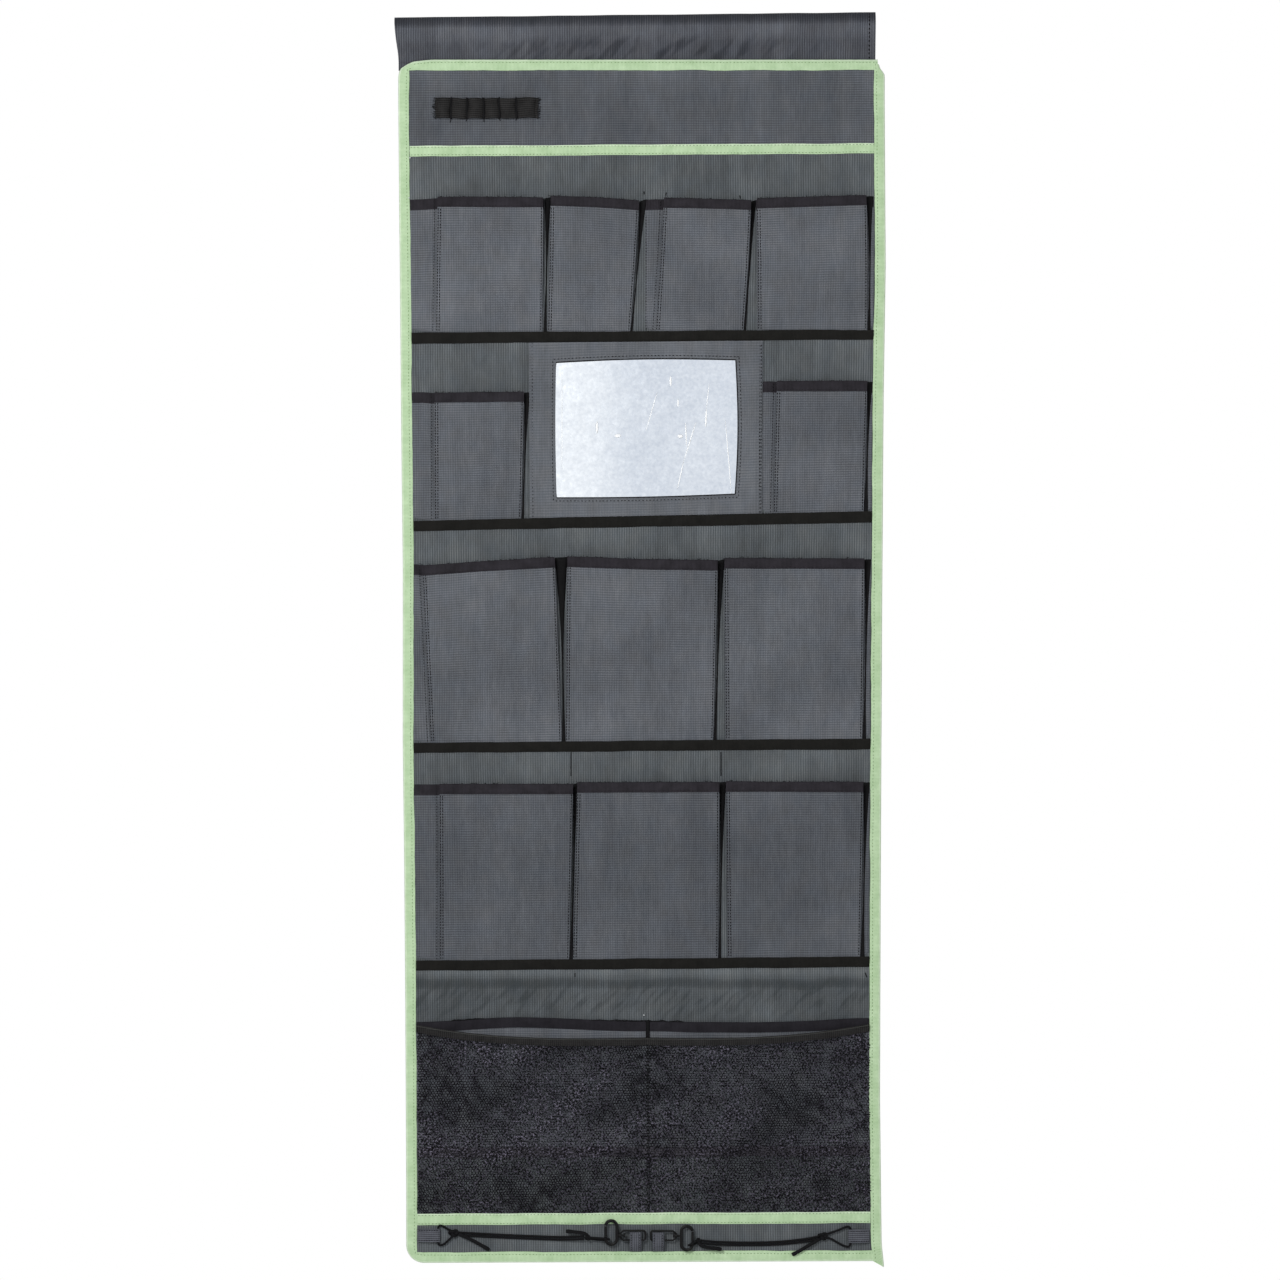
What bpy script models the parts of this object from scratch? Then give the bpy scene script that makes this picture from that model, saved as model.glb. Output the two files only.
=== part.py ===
"""A cloth hanging organizer: pole sleeve, panel, pockets, mirror, net, and two tie cords with hooks.

Metres, +Z up, +X right, and the front faces -Y. The origin is on the pole's axis in the sleeve, at
the middle of the panel's width. "Depth" is the distance in front of the panel's front face.
"""

import math

import bmesh
import bpy
from mathutils import Matrix, Vector

# Clearance between pieces that touch, and cloth thicknesses
GAP = 0.0003
SLEEVE_CLOTH = 0.0006
PANEL_CLOTH = 0.0008
EDGE_SQUEEZE = 0.0002
POCKET_CLOTH = 0.0006
HEM_CLOTH = 0.0006
BINDING_CLOTH = 0.0006
NET_CLOTH = 0.0006
INNER_CLOTH = 0.0006

# How finely the shapes are divided
CORNER_STEPS = 6
SLEEVE_STEPS = 14
LOOP_STEPS = 8
LOBE_STEPS = 10
INNER_ROWS = 4
NET_ROWS = 8
TAB_STEPS = 6
RING_CORNER_STEPS = 4
HOOK_STEPS = 10
ROD_SIDES = 16
KNOT_SIDES = 12
KNOT_RINGS = 8
WELD_DISTANCE = 1e-6
SHARP_ANGLE = 40

# Panel and its green tapes
PANEL_WIDTH = 0.4800
BINDING_WIDTH = 0.0107
CORNER_RADIUS = 0.0180
TAIL_LENGTH = 0.0060
HEADER_HEIGHT = 0.0742
HEADER_TAPE_WIDTH = 0.0103
NET_TAPE_WIDTH = 0.0112
GREEN_TAPE_THICKNESS = 0.0011
FOOT_STRIP = 0.0273

# Pole sleeve
SLEEVE_RADIUS = 0.0110
SLEEVE_DROP = 0.0335
SLEEVE_TAIL = 0.0115
SLEEVE_LEFT_OVERHANG = 0.0085
SLEEVE_RIGHT_INSET = 0.0075

# Utensil elastic on the header
ELASTIC_WIDTH = 0.0200
ELASTIC_LENGTH = 0.1036
ELASTIC_THICKNESS = 0.0012
ELASTIC_INSET = 0.0245
ELASTIC_DROP = 0.0275
ELASTIC_END = 0.0040
LOOP_COUNT = 6
LOOP_HEIGHT = 0.0060
STITCH_WIDTH = 0.0016

# Pocket rows: panel left bare above, height, gaps from left to right, and widths of all but the
# pocket that takes what is left of the row
ROW1_STRIP = 0.0410
ROW1_HEIGHT = 0.1352
ROW1_GAPS = (0.0270, 0.0079, 0.0256, 0.0089, 0.0097)
ROW1_WIDTHS = (0.1023, 0.0835, 0.0865)
ROW2_STRIP = 0.0453
ROW2_HEIGHT = 0.1297
ROW2_GAPS = (0.0215, 0.0056, 0.0130, 0.0074)
ROW2_LEFT_WIDTH = 0.0898
ROW2_RIGHT_WIDTH = 0.0897
ROW3_STRIP = 0.0337
ROW3_HEIGHT = 0.1797
ROW3_GAPS = (0.0125, 0.0110, 0.0110, 0.0090)
ROW3_WIDTHS = (0.1310, 0.1471)
ROW4_STRIP = 0.0315
ROW4_HEIGHT = 0.1765
ROW4_GAPS = (0.0250, 0.0061, 0.0091, 0.0085)
ROW4_WIDTHS = (0.1321, 0.1427)
ROW5_STRIP = 0.0492
ROW5_HEIGHT = 0.1290
ROW_TAPE_WIDTH = 0.0103
ROW_TAPE_THICKNESS = 0.0020
ROW5_TAPE_THICKNESS = 0.0014
POCKET_FOOT_DEPTH = 0.0019
POCKET_MOUTH_DEPTH = 0.0105
HEM_WIDTH = 0.0098

# Mirror behind its window
WINDOW_SIDE_BORDER = 0.02665
WINDOW_END_BORDER = 0.01965
MIRROR_OVERLAP = 0.0060
MIRROR_THICKNESS = 0.0010
FRAME_THICKNESS = 0.0022

# The two inner pockets, and the net in front of them
SEAM_X = 0.0050
INNER_BULGE = 0.0060
NET_STANDOFF = 0.0024
NET_BULGE = 0.0160
NET_BELOW_HEM = 0.0070
NET_SAG = 0.0185
NET_ELASTIC_WIDTH = 0.0076
NET_ELASTIC_THICKNESS = 0.0008
NET_BELOW_INNER = 0.0558

# Webbing tabs, whose legs leave the cloth at the knee, a share of the way to the fold
WEBBING = 0.0010
TAB_KNEE = 0.45
SIDE_TAB_WIDTH = 0.0130
LEFT_TAB_LENGTH = 0.0266
LEFT_TAB_RISE = 0.0163
RIGHT_TAB_LENGTH = 0.0240
RIGHT_TAB_RISE = 0.0155
CENTRE_TAB_WIDTH = 0.0115
LEFT_TAB_X = -0.0075
RIGHT_TAB_X = 0.0153
CENTRE_TAB_RISE = 0.0080

# Swivel hooks: an oval hook with a sprung gate, and the ring that its neck turns in
HARDWARE_DEPTH = 0.0056
RING_WIRE = 0.0010
RING_HALF_HEIGHT = 0.0047
RING_LENGTH = 0.0250
RING_ROUND = 0.0020
RING_SHOULDER = 0.0030
RING_THROAT = 0.0022
COLLAR_RADIUS = 0.0024
COLLAR_LENGTH = 0.0030
NECK_RADIUS = 0.0010
NECK_LENGTH = 0.0055
NECK_HEAD_RADIUS = 0.0019
NECK_HEAD_LENGTH = 0.0012
HOOK_WIRE = 0.0016
HOOK_HALF_WIDTH = 0.00565
HOOK_HALF_HEIGHT = 0.0119
GATE_WIRE = 0.0013
GATE_TOP = 0.0063
GATE_LENGTH = 0.0100
GATE_PLAY = 0.0008
LEFT_HOOK_X = -0.03175
LEFT_NECK_RISE = 0.0165
LEFT_HOOK_LIFT = 0.0028
LEFT_NECK_OUT = 0.0003
RIGHT_HOOK_X = 0.0438
RIGHT_NECK_RISE = 0.0162
RIGHT_HOOK_LIFT = -0.0024
RIGHT_NECK_OUT = 0.0022

# Tie cords: routes as (x, depth, z), chosen by hand, from the inner knot round the side tab and back
CORD_RADIUS = 0.0011
CORD_SPACING = 0.0052
LEFT_CORD = (
    (-0.0588, 0.0054, -1.2100),
    (-0.0700, 0.0040, -1.2105),
    (-0.0850, 0.0020, -1.2108),
    (-0.1050, 0.0015, -1.2102),
    (-0.1300, 0.0015, -1.2092),
    (-0.1550, 0.0015, -1.2080),
    (-0.1750, 0.0019, -1.2068),
    (-0.1870, 0.0028, -1.2058),
    (-0.1945, 0.0033, -1.2030),
    (-0.2000, 0.0030, -1.1998),
    (-0.2037, 0.0028, -1.1994),
    (-0.2048, 0.0028, -1.2030),
    (-0.2048, 0.0028, -1.2090),
    (-0.2048, 0.0028, -1.2160),
    (-0.2030, 0.0028, -1.2190),
    (-0.1985, 0.0030, -1.2176),
    (-0.1930, 0.0033, -1.2125),
    (-0.1870, 0.0028, -1.2084),
    (-0.1750, 0.0019, -1.2094),
    (-0.1550, 0.0015, -1.2106),
    (-0.1300, 0.0015, -1.2118),
    (-0.1050, 0.0015, -1.2128),
    (-0.0850, 0.0020, -1.2134),
    (-0.0700, 0.0040, -1.2131),
    (-0.0588, 0.0054, -1.2126),
)
LEFT_TAIL = (
    (-0.1850, 0.0030, -1.2075),
    (-0.1760, 0.0036, -1.2112),
    (-0.1680, 0.0036, -1.2152),
    (-0.1600, 0.0030, -1.2198),
    (-0.1537, 0.0026, -1.2236),
)
LEFT_KNOT = (-0.1890, 0.0034, -1.2068)
LEFT_END_LOOP = (
    (-0.0535, 0.0064, -1.2108),
    (-0.0465, 0.0083, -1.2112),
    (-0.0400, 0.0089, -1.2116),
    (-0.0358, 0.0082, -1.2121),
    (-0.0336, 0.0056, -1.2127),
    (-0.0358, 0.0030, -1.2132),
    (-0.0400, 0.0023, -1.2136),
    (-0.0465, 0.0032, -1.2132),
    (-0.0535, 0.0048, -1.2120),
)
LEFT_END_TAIL = (
    (-0.0550, 0.0058, -1.2098),
    (-0.0580, 0.0068, -1.2068),
    (-0.0680, 0.0070, -1.2052),
    (-0.0770, 0.0062, -1.2046),
)
LEFT_END_KNOT = (-0.0550, 0.0056, -1.2112)
RIGHT_CORD = (
    (0.0588, 0.0054, -1.2139),
    (0.0700, 0.0040, -1.2152),
    (0.0850, 0.0020, -1.2161),
    (0.1000, 0.0015, -1.2164),
    (0.1200, 0.0015, -1.2163),
    (0.1380, 0.0015, -1.2155),
    (0.1580, 0.0016, -1.2134),
    (0.1750, 0.0028, -1.2103),
    (0.1860, 0.0033, -1.2070),
    (0.1960, 0.0032, -1.2036),
    (0.2030, 0.0030, -1.2006),
    (0.2064, 0.0028, -1.2008),
    (0.2074, 0.0028, -1.2048),
    (0.2074, 0.0028, -1.2100),
    (0.2074, 0.0028, -1.2168),
    (0.2058, 0.0028, -1.2203),
    (0.2015, 0.0030, -1.2198),
    (0.1940, 0.0032, -1.2160),
    (0.1860, 0.0033, -1.2120),
    (0.1750, 0.0028, -1.2129),
    (0.1580, 0.0016, -1.2160),
    (0.1380, 0.0015, -1.2181),
    (0.1200, 0.0015, -1.2189),
    (0.1000, 0.0015, -1.2190),
    (0.0850, 0.0020, -1.2187),
    (0.0700, 0.0040, -1.2178),
    (0.0588, 0.0054, -1.2165),
)
RIGHT_TAIL = (
    (0.1770, 0.0030, -1.2125),
    (0.1700, 0.0040, -1.2165),
    (0.1630, 0.0040, -1.2205),
    (0.1560, 0.0036, -1.2248),
    (0.1490, 0.0032, -1.2285),
)
RIGHT_KNOT = (0.1800, 0.0034, -1.2098)
RIGHT_END_LOOP = (
    (0.0535, 0.0064, -1.2142),
    (0.0505, 0.0086, -1.2160),
    (0.0480, 0.0087, -1.2174),
    (0.0462, 0.0076, -1.2182),
    (0.0455, 0.0056, -1.2186),
    (0.0462, 0.0036, -1.2188),
    (0.0480, 0.0025, -1.2188),
    (0.0510, 0.0028, -1.2180),
    (0.0540, 0.0046, -1.2152),
)
RIGHT_END_TAIL = (
    (0.0555, 0.0058, -1.2158),
    (0.0585, 0.0078, -1.2190),
    (0.0680, 0.0076, -1.2212),
    (0.0785, 0.0064, -1.2228),
)
RIGHT_END_KNOT = (0.0552, 0.0056, -1.2142)
KNOT_RADII = (0.0055, 0.0028, 0.0040)
END_KNOT_RADII = (0.0030, 0.0026, 0.0028)

# Colours as they look in daylight, 0 to 255
GREY_CLOTH = (88, 90, 96)
SLEEVE_GREY = (74, 75, 80)
LIGHT_GREEN = (172, 205, 152)
HEM_BLACK = (52, 50, 55)
TAPE_BLACK = (30, 29, 27)
ELASTIC_BLACK = (36, 35, 36)
NET_BLACK = (42, 40, 48)
WEBBING_GREY = (95, 97, 105)
PLASTIC_BLACK = (28, 28, 29)
CORD_BLACK = (24, 24, 25)
MIRROR_SILVER = (226, 230, 234)

# Depth layers, from the pole's plane to the panel's front face
SLEEVE_TAIL_HALF = SLEEVE_CLOTH + GAP / 2
PANEL_BACK = -(SLEEVE_TAIL_HALF + GAP + BINDING_CLOTH + GAP)
PANEL_FRONT = PANEL_BACK - PANEL_CLOTH

# Widths inside the bindings
OUTER_HALF = PANEL_WIDTH / 2
INNER_HALF = OUTER_HALF - BINDING_WIDTH
CLEAR_HALF = INNER_HALF - GAP
PANEL_HALF = OUTER_HALF - BINDING_CLOTH - GAP

# Heights, from the pole down
BINDING_TOP = -SLEEVE_DROP
HEADER_TOP = BINDING_TOP - BINDING_WIDTH
HEADER_TAPE_TOP = HEADER_TOP - HEADER_HEIGHT
ROW1_TOP = HEADER_TAPE_TOP - HEADER_TAPE_WIDTH - ROW1_STRIP
ROW1_FOOT = ROW1_TOP - ROW1_HEIGHT
ROW2_TOP = ROW1_FOOT - ROW_TAPE_WIDTH - ROW2_STRIP
ROW2_FOOT = ROW2_TOP - ROW2_HEIGHT
ROW3_TOP = ROW2_FOOT - ROW_TAPE_WIDTH - ROW3_STRIP
ROW3_FOOT = ROW3_TOP - ROW3_HEIGHT
ROW4_TOP = ROW3_FOOT - ROW_TAPE_WIDTH - ROW4_STRIP
ROW4_FOOT = ROW4_TOP - ROW4_HEIGHT
ROW5_TOP = ROW4_FOOT - ROW_TAPE_WIDTH - ROW5_STRIP
ROW5_FOOT = ROW5_TOP - ROW5_HEIGHT
NET_TAPE_TOP = ROW5_FOOT - ROW_TAPE_WIDTH - NET_BELOW_INNER
NET_TAPE_FOOT = NET_TAPE_TOP - NET_TAPE_WIDTH
BINDING_INNER_FOOT = NET_TAPE_FOOT - FOOT_STRIP
BINDING_FOOT = BINDING_INNER_FOOT - BINDING_WIDTH


def clear_scene():
    for obj in list(bpy.data.objects):
        bpy.data.objects.remove(obj, do_unlink=True)


def collection(name):
    made = bpy.data.collections.new(name)
    bpy.context.scene.collection.children.link(made)
    return made


def linear(channel):
    """One 0 to 255 channel as a linear value."""
    share = channel / 255
    return share / 12.92 if share <= 0.04045 else ((share + 0.055) / 1.055) ** 2.4


def material(name, colour, roughness, metallic=0.0):
    made = bpy.data.materials.new(name)
    made.use_nodes = True
    shader = made.node_tree.nodes["Principled BSDF"]
    shader.inputs["Base Color"].default_value = (*(linear(c) for c in colour), 1.0)
    shader.inputs["Roughness"].default_value = roughness
    shader.inputs["Metallic"].default_value = metallic
    return made


clear_scene()
PARTS = collection("hanging_organizer")
CUTTERS = collection("cutters")
GREY = material("grey_polyester", GREY_CLOTH, 0.85)
SLEEVE = material("sleeve_polyester", SLEEVE_GREY, 0.85)
GREEN = material("green_binding", LIGHT_GREEN, 0.8)
HEM = material("hem_tape", HEM_BLACK, 0.85)
TAPE = material("black_tape", TAPE_BLACK, 0.85)
ELASTIC = material("black_elastic", ELASTIC_BLACK, 0.9)
NET = material("black_net", NET_BLACK, 0.9)
WEB = material("grey_webbing", WEBBING_GREY, 0.85)
PLASTIC = material("black_plastic", PLASTIC_BLACK, 0.4)
CORD = material("black_cord", CORD_BLACK, 0.8)
SILVER = material("mirror_sheet", MIRROR_SILVER, 0.15, 1.0)


def at(x, depth, z):
    """A point that far in front of the panel's front face."""
    return Vector((x, PANEL_FRONT - depth, z))


def add(name, data, finish, group=None):
    obj = bpy.data.objects.new(name, data)
    (group or PARTS).objects.link(obj)
    if finish is not None:
        data.materials.append(finish)
    return obj


def mesh_from(shape, name):
    bmesh.ops.recalc_face_normals(shape, faces=shape.faces)
    made = bpy.data.meshes.new(name)
    shape.to_mesh(made)
    shape.free()
    return made


def thicken(obj, thickness, offset=0.0):
    shell = obj.modifiers.new("cloth", "SOLIDIFY")
    shell.thickness = thickness
    shell.offset = offset
    shell.use_even_offset = True
    return obj


def slab(name, low, high, finish, group=None):
    """A box between two corners."""
    shape = bmesh.new()
    bmesh.ops.create_cube(shape, size=1.0)
    low, high = Vector(low), Vector(high)
    for vertex in shape.verts:
        vertex.co = low + Vector(a * (b + 0.5) for a, b in zip(high - low, vertex.co))
    return add(name, mesh_from(shape, name), finish, group)


def tape(name, left, right, top, width, thickness, finish):
    """A flat tape sewn across the panel's front, from its top edge down."""
    high = at(right, GAP, top)
    low = at(left, GAP + thickness, top - width)
    return slab(name, low, high, finish)


def sheet(name, across, up, place, thickness, finish):
    """An open grid bent by place(u, v), given its thickness."""
    shape = bmesh.new()
    bmesh.ops.create_grid(shape, x_segments=across, y_segments=up, size=0.5)
    for vertex in shape.verts:
        vertex.co = place(vertex.co.x + 0.5, vertex.co.y + 0.5)
    return thicken(add(name, mesh_from(shape, name), finish), thickness)


def ribbon(name, path, direction, width, thickness, finish, origin=(0, 0, 0)):
    """A strip of cloth: a path through space, drawn out by width along direction."""
    shape = bmesh.new()
    verts = [shape.verts.new(Vector(point) - Vector(origin)) for point in path]
    edges = [shape.edges.new(pair) for pair in zip(verts, verts[1:])]
    drawn = bmesh.ops.extrude_edge_only(shape, edges=edges)
    moved = [item for item in drawn["geom"] if isinstance(item, bmesh.types.BMVert)]
    bmesh.ops.translate(shape, verts=moved, vec=Vector(direction) * width)
    obj = add(name, mesh_from(shape, name), finish)
    obj.location = origin
    return thicken(obj, thickness)


def as_mesh(obj, group=None):
    """The same piece as a mesh, because a curve can't be joined or cut."""
    graph = bpy.context.evaluated_depsgraph_get()
    made = bpy.data.meshes.new_from_object(obj.evaluated_get(graph))
    shape = bmesh.new()
    shape.from_mesh(made)
    bmesh.ops.remove_doubles(shape, verts=shape.verts, dist=WELD_DISTANCE)
    bmesh.ops.recalc_face_normals(shape, faces=shape.faces)
    shape.to_mesh(made)
    shape.free()
    name, matrix = obj.name, obj.matrix_world.copy()
    bpy.data.objects.remove(obj, do_unlink=True)
    solid = add(name, made, None, group)
    solid.matrix_world = matrix
    return solid


def smooth_path(points, spacing):
    """Points about spacing apart on a smooth curve through the given ones."""
    points = [Vector(point) for point in points]
    padded = [2 * points[0] - points[1], *points, 2 * points[-1] - points[-2]]
    path = []
    for before, start, end, after in zip(padded, padded[1:], padded[2:], padded[3:]):
        steps = max(1, round((end - start).length / spacing))
        for step in range(steps):
            t = step / steps
            path.append(
                0.5
                * (
                    2 * start
                    + (end - before) * t
                    + (2 * before - 5 * start + 4 * end - after) * t**2
                    + (3 * start - before - 3 * end + after) * t**3
                )
            )
    return [*path, points[-1]]


def tube(name, points, radius, finish, closed=False, group=None):
    """A round wire or cord along a chain of points."""
    curve = bpy.data.curves.new(name, "CURVE")
    curve.dimensions = "3D"
    curve.bevel_depth = radius
    curve.bevel_resolution = 2
    curve.use_fill_caps = not closed
    spline = curve.splines.new("POLY")
    spline.points.add(len(points) - 1)
    for point, place in zip(spline.points, points):
        point.co = (*place, 1.0)
    spline.use_cyclic_u = closed
    obj = add(name, curve, finish, group)
    bpy.context.view_layer.update()
    return as_mesh(obj, group)


def rod(name, start, end, radius, group=None, finish=None):
    """A round bar between two points."""
    start, end = Vector(start), Vector(end)
    run = end - start
    turn = run.to_track_quat("Z", "Y").to_matrix().to_4x4()
    shape = bmesh.new()
    bmesh.ops.create_cone(
        shape,
        cap_ends=True,
        segments=ROD_SIDES,
        radius1=radius,
        radius2=radius,
        depth=run.length,
        matrix=Matrix.Translation((start + end) / 2) @ turn,
    )
    return add(name, mesh_from(shape, name), finish, group)


def knot(name, centre, radii):
    """The lump of a knot in a cord."""
    shape = bmesh.new()
    bmesh.ops.create_uvsphere(
        shape,
        u_segments=KNOT_SIDES,
        v_segments=KNOT_RINGS,
        radius=1.0,
        matrix=Matrix.Translation(at(*centre)) @ Matrix.Diagonal((*radii, 1.0)),
    )
    return add(name, mesh_from(shape, name), None, CUTTERS)


def combine(obj, other, operation):
    """Joins or cuts with a helper, which is kept out of the model."""
    other.hide_render = True
    other.display_type = "WIRE"
    step = obj.modifiers.new(other.name, "BOOLEAN")
    step.operation = operation
    step.object = other
    return obj


def put_origin(obj, origin):
    """Moves a piece's origin onto its joint, leaving the piece where it is."""
    shift = Vector(origin) - obj.matrix_world.translation
    obj.data.transform(Matrix.Translation(-shift))
    obj.matrix_world = Matrix.Translation(Vector(origin))


def shade_round(obj):
    obj.data.shade_smooth()
    obj.data.set_sharp_from_angle(angle=math.radians(SHARP_ANGLE))


def arc(centre, radius, start, end, steps):
    """Points on an arc in a plane, with angles in degrees."""
    turns = [math.radians(start + (end - start) * i / steps) for i in range(steps + 1)]
    return [
        (centre[0] + radius * math.cos(turn), centre[1] + radius * math.sin(turn))
        for turn in turns
    ]


# The panel, its header and its bindings


def panel_outline(low, high, round_top, inset):
    """A panel's outline so far in from its edge, with the left corner in the binding rounded."""
    right = PANEL_HALF - inset
    low += inset
    high -= inset
    radius = CORNER_RADIUS - BINDING_CLOTH - GAP - inset
    centre_x = -right + radius
    if round_top:
        bend = arc((centre_x, high - radius), radius, 90, 180, CORNER_STEPS)
        return [(right, low), (right, high), *bend, (-right, low)]
    bend = arc((centre_x, low + radius), radius, 180, 270, CORNER_STEPS)
    return [(right, low), (right, high), (-right, high), *bend]


def panel_sheet(name, low, high, round_top):
    """Flat cloth, pressed thinner round its edge, where tapes are sewn over it."""
    margin = PANEL_HALF - CLEAR_HALF
    layers = ((0, 0), (EDGE_SQUEEZE - PANEL_CLOTH, 0), (-PANEL_CLOTH, margin))
    shape = bmesh.new()
    rings = []
    for depth, inset in layers:
        outline = panel_outline(low, high, round_top, inset)
        rings.append([shape.verts.new(at(x, depth, z)) for x, z in outline])
    shape.faces.new(rings[0])
    shape.faces.new(rings[-1])
    count = len(rings[0])
    for ring, behind in zip(rings, rings[1:]):
        for here in range(count):
            after = (here + 1) % count
            shape.faces.new((ring[here], ring[after], behind[after], behind[here]))
    return add(name, mesh_from(shape, name), GREY)


def panels():
    seam = HEADER_TAPE_TOP - HEADER_TAPE_WIDTH / 2
    inset = BINDING_CLOTH + GAP
    panel_sheet("header_panel", seam + GAP / 2, BINDING_TOP - inset, True)
    panel_sheet("back_panel", BINDING_FOOT + inset, seam - GAP / 2, False)


def binding_section():
    """The folded tape's outline: x runs in from the panel's edge, y through the cloth."""
    half_slot = PANEL_CLOTH / 2 + GAP
    half = half_slot + BINDING_CLOTH
    return [
        (0, -half),
        (BINDING_WIDTH, -half),
        (BINDING_WIDTH, -half_slot),
        (BINDING_CLOTH, -half_slot),
        (BINDING_CLOTH, half_slot),
        (BINDING_WIDTH, half_slot),
        (BINDING_WIDTH, half),
        (0, half),
    ]


def section_curve(name, outline):
    curve = bpy.data.curves.new(name, "CURVE")
    curve.dimensions = "2D"
    curve.fill_mode = "NONE"
    spline = curve.splines.new("POLY")
    spline.points.add(len(outline) - 1)
    for point, (x, y) in zip(spline.points, outline):
        point.co = (x, y, 0.0, 1.0)
    spline.use_cyclic_u = True
    obj = add(name, curve, None, CUTTERS)
    obj.hide_render = True
    return obj


def edge_binding(section):
    """One folded tape along the bottom, up the left side and along the top."""
    end = CLEAR_HALF
    centre_x = -OUTER_HALF + CORNER_RADIUS
    foot_centre = (centre_x, BINDING_FOOT + CORNER_RADIUS)
    top_centre = (centre_x, BINDING_TOP - CORNER_RADIUS)
    route = [(end, BINDING_FOOT)]
    route += arc(foot_centre, CORNER_RADIUS, 270, 180, CORNER_STEPS)
    route += arc(top_centre, CORNER_RADIUS, 180, 90, CORNER_STEPS)
    route.append((end, BINDING_TOP))
    curve = bpy.data.curves.new("edge_binding", "CURVE")
    curve.dimensions = "2D"
    curve.fill_mode = "NONE"
    curve.bevel_mode = "OBJECT"
    curve.bevel_object = section
    curve.use_fill_caps = True
    spline = curve.splines.new("POLY")
    spline.points.add(len(route) - 1)
    for point, (x, z) in zip(spline.points, route):
        point.co = (x, z, 0.0, 1.0)
    obj = add("edge_binding", curve, GREEN)
    obj.location = at(0, -PANEL_CLOTH / 2, 0)
    obj.rotation_euler = (math.radians(90), 0, 0)
    bpy.context.view_layer.update()
    as_mesh(obj)


def right_binding(section):
    """The folded tape down the right side, with a slanted tail below the corner."""
    tail_foot = BINDING_FOOT - TAIL_LENGTH
    length = BINDING_TOP - tail_foot
    outline = [(point.co.x, point.co.y) for point in section.data.splines[0].points]
    curve = bpy.data.curves.new("right_binding", "CURVE")
    curve.dimensions = "2D"
    curve.fill_mode = "BOTH"
    curve.extrude = length / 2
    spline = curve.splines.new("POLY")
    spline.points.add(len(outline) - 1)
    for point, (x, y) in zip(spline.points, outline):
        point.co = (-x, y, 0.0, 1.0)
    spline.use_cyclic_u = True
    obj = add("right_binding", curve, GREEN)
    obj.location = at(OUTER_HALF, -PANEL_CLOTH / 2, tail_foot + length / 2)
    bpy.context.view_layer.update()
    solid = as_mesh(obj)
    reach = 2 * BINDING_WIDTH
    slope = math.atan2(TAIL_LENGTH, BINDING_WIDTH)
    cutter = slab("tail_cut", (-reach, -reach, -reach), (reach, reach, 0), None, CUTTERS)
    cutter.rotation_euler = (0, slope, 0)
    cutter.location = at(OUTER_HALF - BINDING_WIDTH, 0, BINDING_FOOT)
    combine(solid, cutter, "DIFFERENCE")


def sleeve():
    """Two legs of cloth that hang from the pole and close together behind the panel's top edge."""
    radius = SLEEVE_RADIUS - SLEEVE_CLOTH / 2
    join = BINDING_TOP + GAP
    leg = SLEEVE_CLOTH / 2 + GAP / 2
    lean = math.degrees(math.asin((radius - leg) / -join))
    path = [(leg, join - SLEEVE_TAIL), (leg, join)]
    path += arc((0, 0), radius, -lean, 180 + lean, SLEEVE_STEPS)
    path += [(-leg, join), (-leg, join - SLEEVE_TAIL)]
    left = -OUTER_HALF - SLEEVE_LEFT_OVERHANG
    length = OUTER_HALF - SLEEVE_RIGHT_INSET - left
    points = [(left, y, z) for y, z in path]
    ribbon("hanging_sleeve", points, (1, 0, 0), length, SLEEVE_CLOTH, SLEEVE)


def utensil_elastic():
    """One elastic stitched down between its loops."""
    start = -INNER_HALF + ELASTIC_INSET
    foot = HEADER_TOP - ELASTIC_DROP - ELASTIC_WIDTH
    flat = GAP + ELASTIC_THICKNESS / 2
    loop = (ELASTIC_LENGTH - 2 * ELASTIC_END) / LOOP_COUNT
    points = [at(start, flat, foot)]
    for number in range(LOOP_COUNT):
        left = start + ELASTIC_END + loop * number + STITCH_WIDTH / 2
        for step in range(LOOP_STEPS + 1):
            share = step / LOOP_STEPS
            rise = LOOP_HEIGHT * math.sin(math.pi * share)
            points.append(at(left + (loop - STITCH_WIDTH) * share, flat + rise, foot))
    points.append(at(start + ELASTIC_LENGTH, flat, foot))
    name = "utensil_elastic"
    ribbon(name, points, (0, 0, 1), ELASTIC_WIDTH, ELASTIC_THICKNESS, ELASTIC)


def tapes():
    across = (-CLEAR_HALF, CLEAR_HALF)
    thick = GREEN_TAPE_THICKNESS
    tape("header_tape", *across, HEADER_TAPE_TOP, HEADER_TAPE_WIDTH, thick, GREEN)
    tape("net_tape", *across, NET_TAPE_TOP, NET_TAPE_WIDTH, thick, GREEN)
    for row, foot in enumerate((ROW1_FOOT, ROW2_FOOT, ROW3_FOOT, ROW4_FOOT), 1):
        name = f"row{row}_tape"
        tape(name, *across, foot, ROW_TAPE_WIDTH, ROW_TAPE_THICKNESS, TAPE)
    tape("row5_tape", *across, ROW5_FOOT, ROW_TAPE_WIDTH, ROW5_TAPE_THICKNESS, TAPE)


# Pockets whose fronts swing out


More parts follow.
